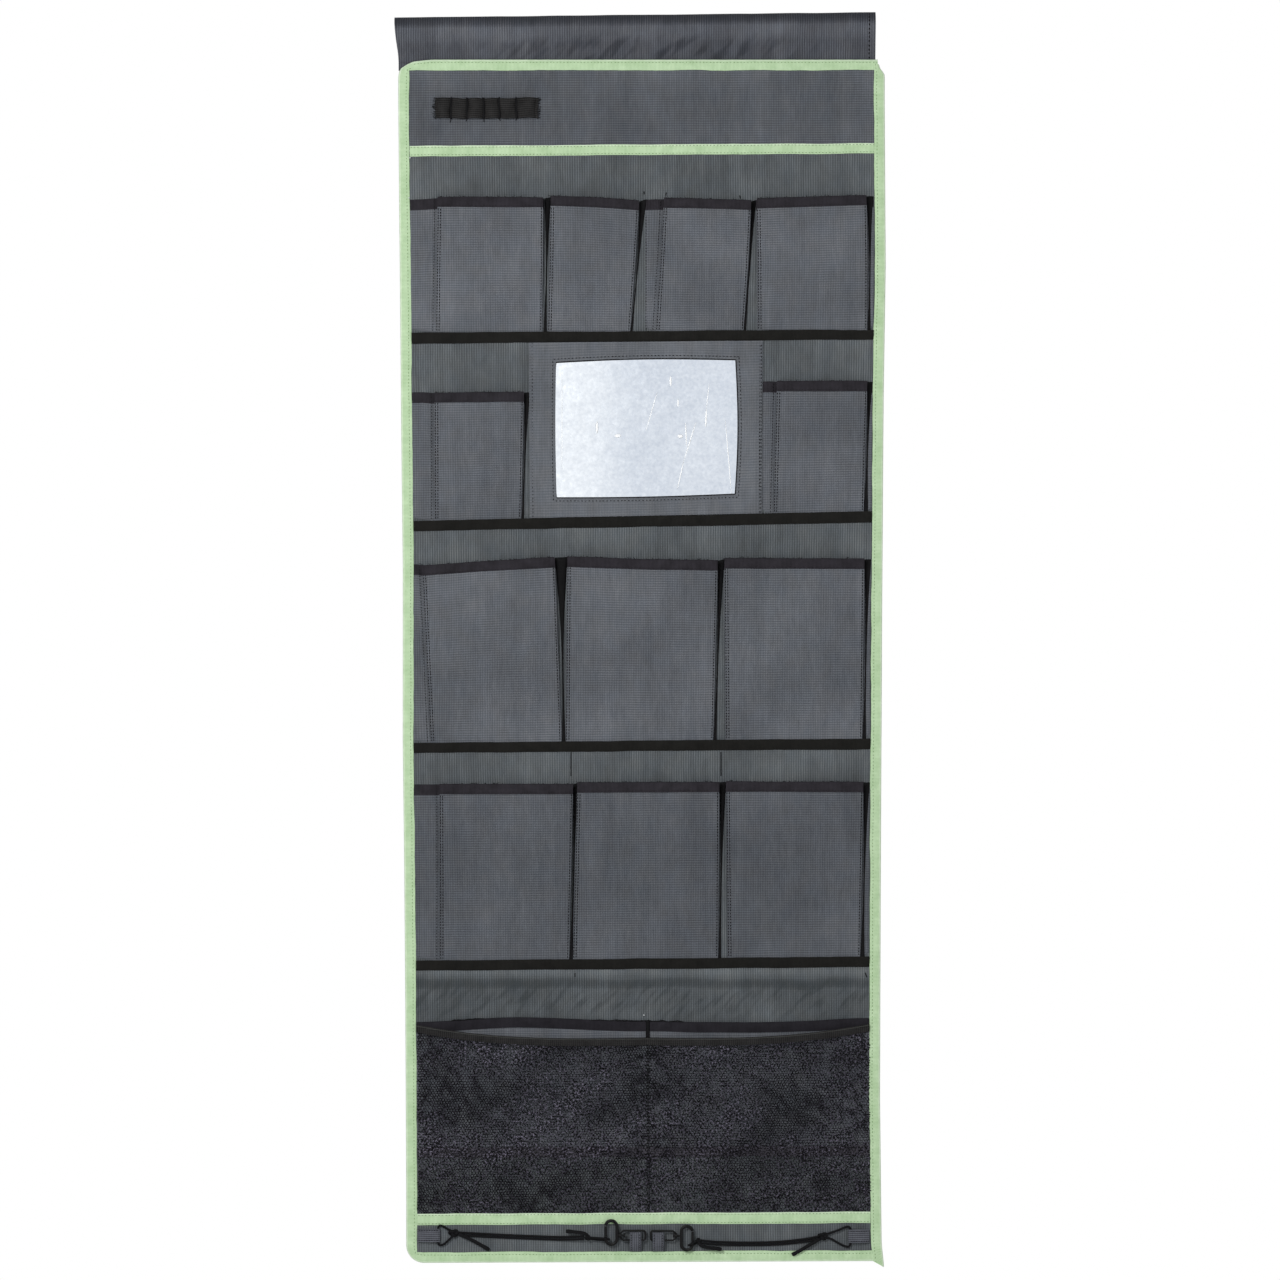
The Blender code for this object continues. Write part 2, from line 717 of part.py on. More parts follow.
def pocket(row, number, left, right, top, foot):
    """A front and two side gussets, open at the top and towards the panel, with a hem on the front.

    The origin is on the hinge, along the front's bottom edge.
    """
    wall_foot = foot + GAP
    wall_top = top - GAP - HEM_CLOTH
    hinge = at((left + right) / 2, POCKET_FOOT_DEPTH, wall_foot)
    shape = bmesh.new()
    bmesh.ops.create_cube(shape, size=1.0)
    back = [face for face in shape.faces if max(face.normal.y, face.normal.z) > 0.5]
    bmesh.ops.delete(shape, geom=back, context="FACES")
    for vertex in shape.verts:
        up = vertex.co.z + 0.5
        front = POCKET_FOOT_DEPTH + (POCKET_MOUTH_DEPTH - POCKET_FOOT_DEPTH) * up
        depth = front if vertex.co.y < 0 else GAP
        x = (left + right) / 2 + (right - left) * vertex.co.x
        vertex.co = at(x, depth, wall_foot + (wall_top - wall_foot) * up) - hinge
    name = f"row{row}_pocket_{number}"
    obj = add(name, mesh_from(shape, name), GREY)
    obj.location = hinge
    inwards = -1.0 if obj.data.polygons[0].normal.dot(obj.data.polygons[0].center) > 0 else 1.0
    thicken(obj, POCKET_CLOTH, inwards)
    lean = math.atan2(POCKET_MOUTH_DEPTH - POCKET_FOOT_DEPTH, wall_top - wall_foot)
    hem(f"row{row}_hem_{number}", left, right, wall_top, lean, hinge)


def hem(name, left, right, wall_top, lean, hinge):
    """A tape folded over the pocket's mouth, between its gussets."""
    inset = POCKET_CLOTH + GAP
    along = Vector((0, -math.sin(lean), math.cos(lean)))
    out = Vector((0, -math.cos(lean), -math.sin(lean)))
    middle = at(left + inset, POCKET_MOUTH_DEPTH, wall_top) - out * POCKET_CLOTH / 2
    apart = out * (POCKET_CLOTH / 2 + GAP + HEM_CLOTH / 2)
    above = along * (GAP + HEM_CLOTH / 2)
    below = along * (HEM_WIDTH - GAP - HEM_CLOTH)
    path = [
        middle + apart - below,
        middle + apart + above,
        middle - apart + above,
        middle - apart - below,
    ]
    width = right - left - 2 * inset
    ribbon(name, path, (1, 0, 0), width, HEM_CLOTH, HEM, hinge)


def pocket_row(row, top, foot, gaps, widths):
    """Pockets from the left, the last one taking what is left of the row."""
    left = -INNER_HALF
    for number, gap in enumerate(gaps[:-1], 1):
        left += gap
        if number <= len(widths):
            right = left + widths[number - 1]
        else:
            right = INNER_HALF - gaps[-1]
        pocket(row, number, left, right, top, foot)
        left = right


def pockets():
    pocket_row(1, ROW1_TOP, ROW1_FOOT, ROW1_GAPS, ROW1_WIDTHS)
    left = -INNER_HALF + ROW2_GAPS[0]
    pocket(2, 1, left, left + ROW2_LEFT_WIDTH, ROW2_TOP, ROW2_FOOT)
    right = INNER_HALF - ROW2_GAPS[3]
    pocket(2, 2, right - ROW2_RIGHT_WIDTH, right, ROW2_TOP, ROW2_FOOT)
    mirror(left + ROW2_LEFT_WIDTH + ROW2_GAPS[1], right - ROW2_RIGHT_WIDTH - ROW2_GAPS[2])
    pocket_row(3, ROW3_TOP, ROW3_FOOT, ROW3_GAPS, ROW3_WIDTHS)
    pocket_row(4, ROW4_TOP, ROW4_FOOT, ROW4_GAPS, ROW4_WIDTHS)


def mirror(left, right):
    """A cloth panel with a window, and the mirror sheet in the recess behind it."""
    top = ROW1_FOOT - ROW_TAPE_WIDTH - GAP
    foot = ROW2_FOOT + GAP
    frame = slab(
        "mirror_frame", at(left, GAP + FRAME_THICKNESS, foot), at(right, GAP, top), GREY
    )
    window_left, window_right = left + WINDOW_SIDE_BORDER, right - WINDOW_SIDE_BORDER
    window_foot, window_top = foot + WINDOW_END_BORDER, top - WINDOW_END_BORDER
    mirror_left, mirror_right = window_left - MIRROR_OVERLAP, window_right + MIRROR_OVERLAP
    mirror_foot, mirror_top = window_foot - MIRROR_OVERLAP, window_top + MIRROR_OVERLAP
    slab(
        "mirror",
        at(mirror_left, GAP + MIRROR_THICKNESS, mirror_foot),
        at(mirror_right, GAP, mirror_top),
        SILVER,
    )
    recess = slab(
        "mirror_recess",
        at(mirror_left - GAP, 2 * GAP + MIRROR_THICKNESS, mirror_foot - GAP),
        at(mirror_right + GAP, -GAP, mirror_top + GAP),
        None,
        CUTTERS,
    )
    window = slab(
        "mirror_window",
        at(window_left, 2 * FRAME_THICKNESS, window_foot),
        at(window_right, 0, window_top),
        None,
        CUTTERS,
    )
    combine(frame, recess, "DIFFERENCE")
    combine(frame, window, "DIFFERENCE")


# The inner pockets and the net


def seam_share(u):
    """The x of a share of the width, and how far it bulges between the side and centre seams."""
    side = min(int(u * 2), 1)
    within = u * 2 - side
    ends = ((-CLEAR_HALF, SEAM_X), (SEAM_X, CLEAR_HALF))[side]
    x = ends[0] + (ends[1] - ends[0]) * within
    return x, 1 - (2 * within - 1) ** 2


def inner_pockets():
    foot = ROW5_FOOT + GAP

    def depth_at(bulge, z):
        up = (z - foot) / (ROW5_TOP - foot)
        return GAP + INNER_CLOTH / 2 + INNER_BULGE * bulge * up

    def strip(u, v):
        x, bulge = seam_share(u)
        z = foot + (ROW5_TOP - foot) * v
        return at(x, depth_at(bulge, z), z)

    def edge(u, v):
        x, bulge = seam_share(u)
        z = ROW5_TOP - HEM_WIDTH * (1 - v)
        clear = INNER_CLOTH / 2 + GAP + HEM_CLOTH / 2
        return at(x, depth_at(bulge, z) + clear, z)

    sheet("inner_pockets", 2 * LOBE_STEPS, INNER_ROWS, strip, INNER_CLOTH, GREY)
    sheet("inner_pocket_hem", 2 * LOBE_STEPS, 1, edge, HEM_CLOTH, HEM)


def net():
    foot = NET_TAPE_TOP + GAP

    def mouth_at(x):
        drop = NET_SAG * (1 - abs(x / INNER_HALF) ** 3)
        return ROW5_TOP - NET_BELOW_HEM - drop

    def depth_at(x, bulge, z):
        up = max(0.0, (z - foot) / (mouth_at(x) - foot))
        return NET_STANDOFF + NET_BULGE * bulge * up

    def panel(u, v):
        x, bulge = seam_share(u)
        z = foot + (mouth_at(x) - foot) * v
        return at(x, depth_at(x, bulge, z), z)

    def edge(u, v):
        x, bulge = seam_share(u)
        z = mouth_at(x) - NET_ELASTIC_WIDTH * (1 - v)
        clear = NET_CLOTH / 2 + GAP + NET_ELASTIC_THICKNESS / 2
        return at(x, depth_at(x, bulge, z) + clear, z)

    sheet("net_pocket", 2 * LOBE_STEPS, NET_ROWS, panel, NET_CLOTH, NET)
    sheet("net_elastic", 2 * LOBE_STEPS, 1, edge, NET_ELASTIC_THICKNESS, ELASTIC)


# Bottom fastenings


def folded_webbing(base, fold, middle, hold):
    """A loop of webbing from the side, as (distance, depth): two legs from base, round a fold."""
    turn = middle - hold / 2 - WEBBING / 2
    half = middle - turn
    centre = fold - half - WEBBING / 2
    knee = base + (centre - base) * TAB_KNEE
    back = GAP + WEBBING / 2
    path = [(base, back), (knee, turn), (centre, turn)]
    for i in range(1, TAB_STEPS):
        angle = math.pi * i / TAB_STEPS - math.pi / 2
        path.append((centre + half * math.cos(angle), middle + half * math.sin(angle)))
    front = back + WEBBING + GAP
    path += [(centre, middle + half), (knee, middle + half), (base, front)]
    return path


def side_tab(name, side, length, rise):
    """A webbing loop sewn in at the side, its fold towards the middle, open up and down."""
    middle = GAP + WEBBING + GAP + CORD_RADIUS
    hold = 2 * (CORD_RADIUS + GAP)
    path = folded_webbing(0.0, length, middle, hold)
    foot = BINDING_INNER_FOOT + rise - SIDE_TAB_WIDTH / 2
    points = [at(side * (CLEAR_HALF - run), depth, foot) for run, depth in path]
    ribbon(name, points, (0, 0, 1), SIDE_TAB_WIDTH, WEBBING, WEB)


def centre_tab(name, x, neck_z, hinge):
    """A webbing loop sewn in at the bottom, its fold up, holding the ring's lower bar."""
    base = BINDING_INNER_FOOT + GAP
    fold = neck_z - RING_HALF_HEIGHT + CENTRE_TAB_RISE
    hold = 2 * (RING_WIRE + GAP)
    path = folded_webbing(base, fold, HARDWARE_DEPTH, hold)
    left = x - CENTRE_TAB_WIDTH / 2
    points = [at(left, depth, z) for z, depth in path]
    ribbon(name, points, (1, 0, 0), CENTRE_TAB_WIDTH, WEBBING, WEB, hinge)


def eye_ring(name, side, neck_x, neck_z, hinge):
    """A long ring with a collar at its narrow end, which the hook's neck turns in."""
    away = -side

    def place(run, height):
        return at(neck_x + away * run, HARDWARE_DEPTH, neck_z + height)

    half = RING_HALF_HEIGHT
    throat = COLLAR_LENGTH / 2
    end = throat + RING_LENGTH
    points = [
        place(throat, -RING_THROAT),
        place(throat, RING_THROAT),
        place(throat + RING_SHOULDER, half),
    ]
    centre = (end - RING_ROUND, half - RING_ROUND)
    points += [place(*point) for point in arc(centre, RING_ROUND, 90, 0, RING_CORNER_STEPS)]
    centre = (end - RING_ROUND, RING_ROUND - half)
    points += [place(*point) for point in arc(centre, RING_ROUND, 0, -90, RING_CORNER_STEPS)]
    points.append(place(throat + RING_SHOULDER, -half))
    ring = tube(name, points, RING_WIRE, PLASTIC, closed=True)
    collar = rod(name + "_collar", place(0, 0), place(COLLAR_LENGTH, 0), COLLAR_RADIUS, CUTTERS)
    hole = rod(
        name + "_hole",
        place(-GAP, 0),
        place(COLLAR_LENGTH + GAP, 0),
        NECK_RADIUS + GAP,
        CUTTERS,
    )
    combine(ring, collar, "UNION")
    combine(ring, hole, "DIFFERENCE")
    put_origin(ring, hinge)
    shade_round(ring)


def snap_hook(name, side, x, z, neck_z, swivel):
    """An oval hook, open on its outer side for the gate, with its neck on the inner side."""

    def place(out, height):
        return at(x + side * out, HARDWARE_DEPTH, z + height)

    half = HOOK_HALF_WIDTH
    straight = HOOK_HALF_HEIGHT - half
    pivot_end = GATE_TOP + GATE_PLAY
    nose_end = GATE_TOP - GATE_LENGTH - GAP
    start = math.degrees(math.asin(min(1.0, max(0.0, (pivot_end - straight) / half))))
    points = [place(*point) for point in arc((0, straight), half, start, 180, HOOK_STEPS)]
    points += [place(*point) for point in arc((0, -straight), half, 180, 360, HOOK_STEPS)]
    points.append(place(half, nose_end))
    hook = tube(name, points, HOOK_WIRE, PLASTIC)
    inner = x - side * half
    away = -side
    head = inner + away * (HOOK_WIRE + NECK_LENGTH)
    pin_start = at(inner, HARDWARE_DEPTH, neck_z)
    pin_end = at(head + away * NECK_HEAD_LENGTH / 2, HARDWARE_DEPTH, neck_z)
    head_start = at(head, HARDWARE_DEPTH, neck_z)
    head_end = at(head + away * NECK_HEAD_LENGTH, HARDWARE_DEPTH, neck_z)
    combine(hook, rod(name + "_neck", pin_start, pin_end, NECK_RADIUS, CUTTERS), "UNION")
    combine(hook, rod(name + "_head", head_start, head_end, NECK_HEAD_RADIUS, CUTTERS), "UNION")
    put_origin(hook, swivel)
    shade_round(hook)


def hook_gate(name, side, x, z):
    """The sprung gate, whose origin is on its pivot at the top."""
    out = x + side * HOOK_HALF_WIDTH
    top = at(out, HARDWARE_DEPTH, z + GATE_TOP)
    foot = at(out, HARDWARE_DEPTH, z + GATE_TOP - GATE_LENGTH)
    gate = rod(name, top, foot, GATE_WIRE, PARTS, PLASTIC)
    put_origin(gate, top)
    shade_round(gate)


def cord(name, route, tail, knot_centre, knot_radii, origin):
    """A length of cord with one knot and its tail, all one piece."""
    body = tube(name, smooth_path([at(*p) for p in route], CORD_SPACING), CORD_RADIUS, CORD)
    end = smooth_path([at(*p) for p in tail], CORD_SPACING)
    combine(body, tube(name + "_tail", end, CORD_RADIUS, None, group=CUTTERS), "UNION")
    combine(body, knot(name + "_knot", knot_centre, knot_radii), "UNION")
    put_origin(body, origin)
    shade_round(body)


def fastening(side_name, side, hook_x, hook_lift, neck_rise, neck_out, tab_x, cord_end):
    """Webbing tab, ring, hook, gate and the cord's end, each with its origin on its joint."""
    fold = at(tab_x, 2 * GAP + 2 * WEBBING, BINDING_INNER_FOOT + GAP)
    neck_x = hook_x - side * (HOOK_HALF_WIDTH + HOOK_WIRE + neck_out)
    neck_z = BINDING_INNER_FOOT + neck_rise
    hook_z = neck_z + hook_lift
    swivel = at(neck_x, HARDWARE_DEPTH, neck_z)
    centre_tab(side_name + "_centre_tab", tab_x, neck_z, fold)
    eye_ring(side_name + "_eye_ring", side, neck_x, neck_z, fold)
    snap_hook(side_name + "_snap_hook", side, hook_x, hook_z, neck_z, swivel)
    hook_gate(side_name + "_hook_gate", side, hook_x, hook_z)
    cord(side_name + "_cord_end", *cord_end, END_KNOT_RADII, swivel)


def fastenings():
    side_tab("left_side_tab", -1, LEFT_TAB_LENGTH, LEFT_TAB_RISE)
    side_tab("right_side_tab", 1, RIGHT_TAB_LENGTH, RIGHT_TAB_RISE)
    left = (LEFT_HOOK_X, LEFT_HOOK_LIFT, LEFT_NECK_RISE, LEFT_NECK_OUT, LEFT_TAB_X)
    left_end = (LEFT_END_LOOP, LEFT_END_TAIL, LEFT_END_KNOT)
    right = (RIGHT_HOOK_X, RIGHT_HOOK_LIFT, RIGHT_NECK_RISE, RIGHT_NECK_OUT, RIGHT_TAB_X)
    right_end = (RIGHT_END_LOOP, RIGHT_END_TAIL, RIGHT_END_KNOT)
    fastening("left", -1, *left, left_end)
    fastening("right", 1, *right, right_end)
    left_exit = at(LEFT_TAB_LENGTH - CLEAR_HALF, 0, BINDING_INNER_FOOT + LEFT_TAB_RISE)
    right_exit = at(CLEAR_HALF - RIGHT_TAB_LENGTH, 0, BINDING_INNER_FOOT + RIGHT_TAB_RISE)
    cord("left_cord", LEFT_CORD, LEFT_TAIL, LEFT_KNOT, KNOT_RADII, left_exit)
    cord("right_cord", RIGHT_CORD, RIGHT_TAIL, RIGHT_KNOT, KNOT_RADII, right_exit)


def main():
    section = section_curve("binding_section", binding_section())
    panels()
    edge_binding(section)
    right_binding(section)
    sleeve()
    utensil_elastic()
    tapes()
    pockets()
    inner_pockets()
    net()
    fastenings()


main()
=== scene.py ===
"""A cloth hanging organizer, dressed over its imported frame.

Metres, +Z up, +X right, and the front faces -Y. "Depth" is the distance in front of the panel's
front face. The solids are straight; the cloth here lies as it hangs in the photograph.
"""

import math

import bpy
import numpy as np
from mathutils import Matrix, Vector

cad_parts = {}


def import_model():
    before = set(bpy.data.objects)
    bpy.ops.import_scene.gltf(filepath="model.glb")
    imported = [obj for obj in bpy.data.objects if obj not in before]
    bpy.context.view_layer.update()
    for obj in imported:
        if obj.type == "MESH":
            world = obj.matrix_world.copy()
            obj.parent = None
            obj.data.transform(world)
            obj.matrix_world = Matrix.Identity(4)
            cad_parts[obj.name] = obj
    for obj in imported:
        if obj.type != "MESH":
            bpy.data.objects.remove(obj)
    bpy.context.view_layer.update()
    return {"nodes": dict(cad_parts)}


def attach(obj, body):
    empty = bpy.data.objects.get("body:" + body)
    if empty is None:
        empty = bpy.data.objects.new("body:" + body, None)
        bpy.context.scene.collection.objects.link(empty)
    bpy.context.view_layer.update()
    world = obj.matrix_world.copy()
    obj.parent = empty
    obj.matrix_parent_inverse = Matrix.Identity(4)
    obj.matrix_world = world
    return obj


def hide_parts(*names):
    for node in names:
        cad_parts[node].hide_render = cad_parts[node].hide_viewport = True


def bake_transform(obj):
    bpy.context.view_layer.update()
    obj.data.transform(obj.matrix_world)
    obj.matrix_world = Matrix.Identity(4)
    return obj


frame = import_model()

# The frame: places that part.py gives, in metres
FRONT = -0.00275
OUTER_HALF = 0.2400
INNER_HALF = 0.2293
CLEAR_HALF = 0.2290
BINDING_WIDTH = 0.0107
CORNER_RADIUS = 0.0180
BINDING_TOP = -0.0335
BINDING_FOOT = -1.2360
BINDING_INNER_FOOT = -1.2253
HEADER_TAPE = (-0.1184, -0.1287)
NET_TAPE = (-1.1868, -1.1980)
ROW_TOPS = (-0.1697, -0.3605, -0.5342, -0.7557, -0.9917)
ROW_FEET = (-0.3049, -0.4902, -0.7139, -0.9322, -1.1207)
ROW_TAPE_WIDTH = 0.0103
FOOT_DEPTH = 0.0019
MOUTH_DEPTH = 0.0105
HEM_WIDTH = 0.0098

# The photograph: one pixel is one millimetre at the panel
PHOTO_X = 643
PHOTO_Z = 26


def photo_x(pixel):
    return (pixel - PHOTO_X) / 1000


def photo_z(pixel):
    return (PHOTO_Z - pixel) / 1000


# How the cloth hangs: (height in metres, shift in millimetres) down the left and the right side
LEFT_LEAN = ((-0.074, -4.7), (-0.239, -3.2), (-0.404, -1.7), (-0.534, -0.2), (-0.714, -0.2),
             (-0.844, 1.3), (-0.974, 2.3), (-1.074, 2.8), (-1.174, 3.3))
RIGHT_LEAN = ((-0.074, 1.7), (-0.239, 2.7), (-0.374, 0.7), (-0.574, -0.8), (-0.874, -2.3),
              (-1.074, -3.0), (-1.224, -1.3))
LEFT_DROP = ((-0.034, 0.0), (-0.119, -1.5), (-0.170, -2.3), (-0.305, -1.6), (-0.360, -5.5),
             (-0.490, -4.6), (-0.534, -3.8), (-0.714, -3.0), (-0.756, -1.3), (-0.932, -2.4),
             (-0.992, -0.5), (-1.187, -1.1), (-1.236, -0.9))
RIGHT_DROP = ((-0.034, 0.0), (-0.119, 1.0), (-0.170, 1.7), (-0.305, 1.0), (-0.360, 5.0),
              (-0.490, 4.8), (-0.534, 1.2), (-0.714, 1.5), (-0.756, 0.2), (-0.932, 1.8),
              (-0.992, 0.5), (-1.187, 1.2), (-1.236, 0.9))


def down_the_side(pairs, z):
    heights, shifts = zip(*pairs)
    return np.interp(-z, [-height for height in heights], shifts) / 1000


def share_of(value, low, high):
    """0 below low, 1 above high, and straight between them."""
    return np.clip((value - low) / (high - low), 0, 1)


def ease(value, low, high):
    share = share_of(value, low, high)
    return share * share * (3 - 2 * share)


def lay(x, z):
    """How far the hanging cloth lies sideways and up from its straight place."""
    share = share_of(x, -INNER_HALF, INNER_HALF)
    sideways = (1 - share) * down_the_side(LEFT_LEAN, z) + share * down_the_side(RIGHT_LEAN, z)
    upwards = (1 - share) * down_the_side(LEFT_DROP, z) + share * down_the_side(RIGHT_DROP, z)
    corner = (1 - ease(x, -0.235, -0.203)) * ease(z, -0.0440, -0.0360)
    return sideways, upwards - 0.0025 * corner


def ripple(x, z, size, seed):
    """Smooth random waves between -1 and 1, about size metres across."""
    count = 64
    lattice = np.random.default_rng(seed).uniform(-1, 1, (count, count))
    u, v = np.asarray(x) / size + count, np.asarray(z) / size + 4 * count
    i, j = np.floor(u).astype(int), np.floor(v).astype(int)
    fu, fv = ease(u - i, 0, 1), ease(v - j, 0, 1)
    i, j, right, above = i % count, j % count, (i + 1) % count, (j + 1) % count
    low = lattice[i, j] * (1 - fu) + lattice[right, j] * fu
    high = lattice[i, above] * (1 - fu) + lattice[right, above] * fu
    return low * (1 - fv) + high * fv


def relief(x, z):
    """The panel's own soft waves, which everything sewn on it shares."""
    calm = ease(z, -1.20, -1.15) * (1 - ease(z, -0.06, -0.035))
    waves = 0.0009 * ripple(x, z, 0.085, 1) + 0.0003 * ripple(x, z, 0.028, 2)
    slack = ease(z, -0.996, -0.985) * (1 - ease(z, -0.950, -0.944))
    creases = ripple((x - z) * 0.7, (x + z) * 0.25, 0.014, 3) + ripple(x * 0.15, z, 0.008, 4)
    return calm * waves + slack * 0.0009 * creases


def laid(x, depth, z):
    """World points of the hanging cloth, as one array, from straight places."""
    x, depth, z = np.broadcast_arrays(*(np.asarray(a, float) for a in (x, depth, z)))
    sideways, upwards = lay(x, z)
    return np.stack([x + sideways, FRONT - depth - relief(x, z), z + upwards], axis=-1)


def straight(x, depth, z):
    """World points of what doesn't lie with the cloth."""
    x, depth, z = np.broadcast_arrays(*(np.asarray(a, float) for a in (x, depth, z)))
    return np.stack([x, FRONT - depth, z], axis=-1)


def across_panel(count):
    return np.linspace(-CLEAR_HALF, CLEAR_HALF, count)


# Meshes


def pair(first, second):
    """Two arrays side by side, along a new last axis."""
    return np.stack(np.broadcast_arrays(first, second), axis=-1)


def unit(vectors):
    return vectors / np.maximum(np.linalg.norm(vectors, axis=-1, keepdims=True), 1e-12)


def lengths_along(path):
    """How far along its path each point lies."""
    return np.concatenate([[0], np.cumsum(np.linalg.norm(np.diff(path, axis=0), axis=1))])


def make(name, verts, faces, uvs, finish):
    mesh = bpy.data.meshes.new(name)
    mesh.from_pydata(np.asarray(verts).tolist(), [], faces)
    corners = np.empty(len(mesh.loops), np.int32)
    mesh.loops.foreach_get("vertex_index", corners)
    layer = mesh.uv_layers.new(name="cloth")
    layer.data.foreach_set("uv", np.asarray(uvs, np.float32)[corners].ravel())
    mesh.shade_smooth()
    mesh.materials.append(finish)
    obj = bpy.data.objects.new(name, mesh)
    bpy.context.scene.collection.objects.link(obj)
    return obj


def normals_of(points):
    return unit(np.cross(np.gradient(points, axis=1), np.gradient(points, axis=0)))


def skin(name, points, uv, thickness, finish, keep=None):
    """Cloth from a grid of points (rows, columns, 3), given its thickness. keep masks its cells."""
    rows, columns = points.shape[:2]
    shift = normals_of(points) * thickness / 2
    verts = np.concatenate([(points + shift).reshape(-1, 3), (points - shift).reshape(-1, 3)])
    count = rows * columns
    index = np.arange(count).reshape(rows, columns)
    quads = np.stack([index[:-1, :-1], index[:-1, 1:], index[1:, 1:], index[1:, :-1]], axis=-1)
    quads = quads.reshape(-1, 4) if keep is None else quads[keep]
    edges = np.concatenate([quads[:, [corner, (corner + 1) % 4]] for corner in range(4)])
    known = set(map(tuple, edges.tolist()))
    rim = [(b, a, a + count, b + count) for a, b in known if (b, a) not in known]
    faces = quads.tolist() + (quads[:, ::-1] + count).tolist() + rim
    uvs = np.concatenate([uv.reshape(-1, 2)] * 2)
    obj = make(name, verts, faces, uvs, finish)
    obj.data.set_sharp_from_angle(angle=math.radians(55))
    return obj


def smooth_path(points, spacing):
    """Points about spacing apart on a smooth curve through the given ones."""
    points = [np.asarray(point, float) for point in points]
    padded = [2 * points[0] - points[1], *points, 2 * points[-1] - points[-2]]
    path = []
    for before, start, end, after in zip(padded, padded[1:], padded[2:], padded[3:]):
        steps = max(1, round(np.linalg.norm(end - start) / spacing))
        for t in np.arange(steps) / steps:
            path.append(
                0.5 * (2 * start + (end - before) * t
                       + (2 * before - 5 * start + 4 * end - after) * t**2
                       + (3 * start - before - 3 * end + after) * t**3)
            )
    return np.array([*path, points[-1]])


def tube(name, path, radii, finish, sides=10, flat=1.0):
    """A round cord or wire along a path, capped, with radii along it. flat squashes its depth."""
    path = np.asarray(path, float)
    count = len(path)
    radii = np.broadcast_to(np.asarray(radii, float), (count,))
    run = unit(np.gradient(path, axis=0))
    side = np.cross(run[0], (0, 1, 0))
    if np.linalg.norm(side) < 0.1:
        side = np.cross(run[0], (1, 0, 0))
    sides_of = []
    for heading in run:
        side = side - heading * side.dot(heading)
        side /= np.linalg.norm(side)
        sides_of.append(side)
    first = np.array(sides_of)
    second = np.cross(run, first)
    turn = np.linspace(0, 2 * math.pi, sides, endpoint=False)
    ring = (first[:, None] * np.cos(turn)[None, :, None]
            + second[:, None] * np.sin(turn)[None, :, None]) * radii[:, None, None]
    ring[..., 1] *= flat
    verts = (path[:, None] + ring).reshape(-1, 3)
    index = np.arange(count * sides).reshape(count, sides)
    after = np.roll(index, -1, axis=1)
    quads = np.stack([index[:-1], index[1:], after[1:], after[:-1]], axis=-1).reshape(-1, 4)
    faces = quads.tolist() + [index[0].tolist(), index[-1][::-1].tolist()]
    uv = pair(lengths_along(path)[:, None], turn * radii.mean())
    return make(name, verts, faces, uv.reshape(-1, 2), finish)


def join(name, pieces):
    """Several made meshes as one object, keeping their materials."""
    verts, faces, uvs, finishes, slots = [], [], [], [], []
    for piece in pieces:
        mesh = piece.data
        start = len(verts)
        finish = mesh.materials[0]
        if finish not in finishes:
            finishes.append(finish)
        verts += [tuple(vertex.co) for vertex in mesh.vertices]
        found = {}
        for loop, spot in zip(mesh.loops, mesh.uv_layers["cloth"].data):
            found[loop.vertex_index] = tuple(spot.uv)
        uvs += [found.get(i, (0, 0)) for i in range(len(mesh.vertices))]
        faces += [[start + i for i in polygon.vertices] for polygon in mesh.polygons]
        slots += [finishes.index(finish)] * len(mesh.polygons)
        bpy.data.objects.remove(piece, do_unlink=True)
        bpy.data.meshes.remove(mesh)
    obj = make(name, verts, faces, uvs, finishes[0])
    for finish in finishes[1:]:
        obj.data.materials.append(finish)
    obj.data.polygons.foreach_set("material_index", slots)
    return obj


STITCH = np.array([(-1, 0, 0), (0, 1, 0), (0, 0, 1), (0, -1, 0), (0, 0, -1), (1, 0, 0)], float)
STITCH_FACES = [(0, 2, 1), (0, 3, 2), (0, 4, 3), (0, 1, 4), (5, 1, 2), (5, 2, 3), (5, 3, 4), (5, 4, 1)]


def stitches(name, lines, pitch, length, width, finish, seed=0):
    """Short threads in rows along lines of world points, on the side that faces front."""
    chance = np.random.default_rng(seed)
    verts, faces = [], []
    for line in lines:
        line = np.asarray(line, float)
        reach = lengths_along(line)
        for spot in np.arange(pitch / 2, reach[-1], pitch):
            spot += chance.uniform(-0.08, 0.08) * pitch
            ends = [np.array([np.interp(spot + part, reach, line[:, axis]) for axis in range(3)])
                    for part in (-length / 2, length / 2)]
            middle = (ends[0] + ends[1]) / 2
            half = (ends[1] - ends[0]) / 2
            side = np.cross(half, (0, 1, 0))
            side = side / max(np.linalg.norm(side), 1e-9) * width / 2
            up = np.array([0, -width * 0.45, 0])
            start = len(verts)
            verts += [middle + a * half + b * side + c * up for a, b, c in STITCH]
            faces += [tuple(start + i for i in face) for face in STITCH_FACES]
    return make(name, verts, faces, np.array(verts)[:, [0, 2]], finish)


# Materials


def linear(channel):
    share = channel / 255
    return share / 12.92 if share <= 0.04045 else ((share + 0.055) / 1.055) ** 2.4


def colour(red, green, blue):
    return (linear(red), linear(green), linear(blue), 1.0)


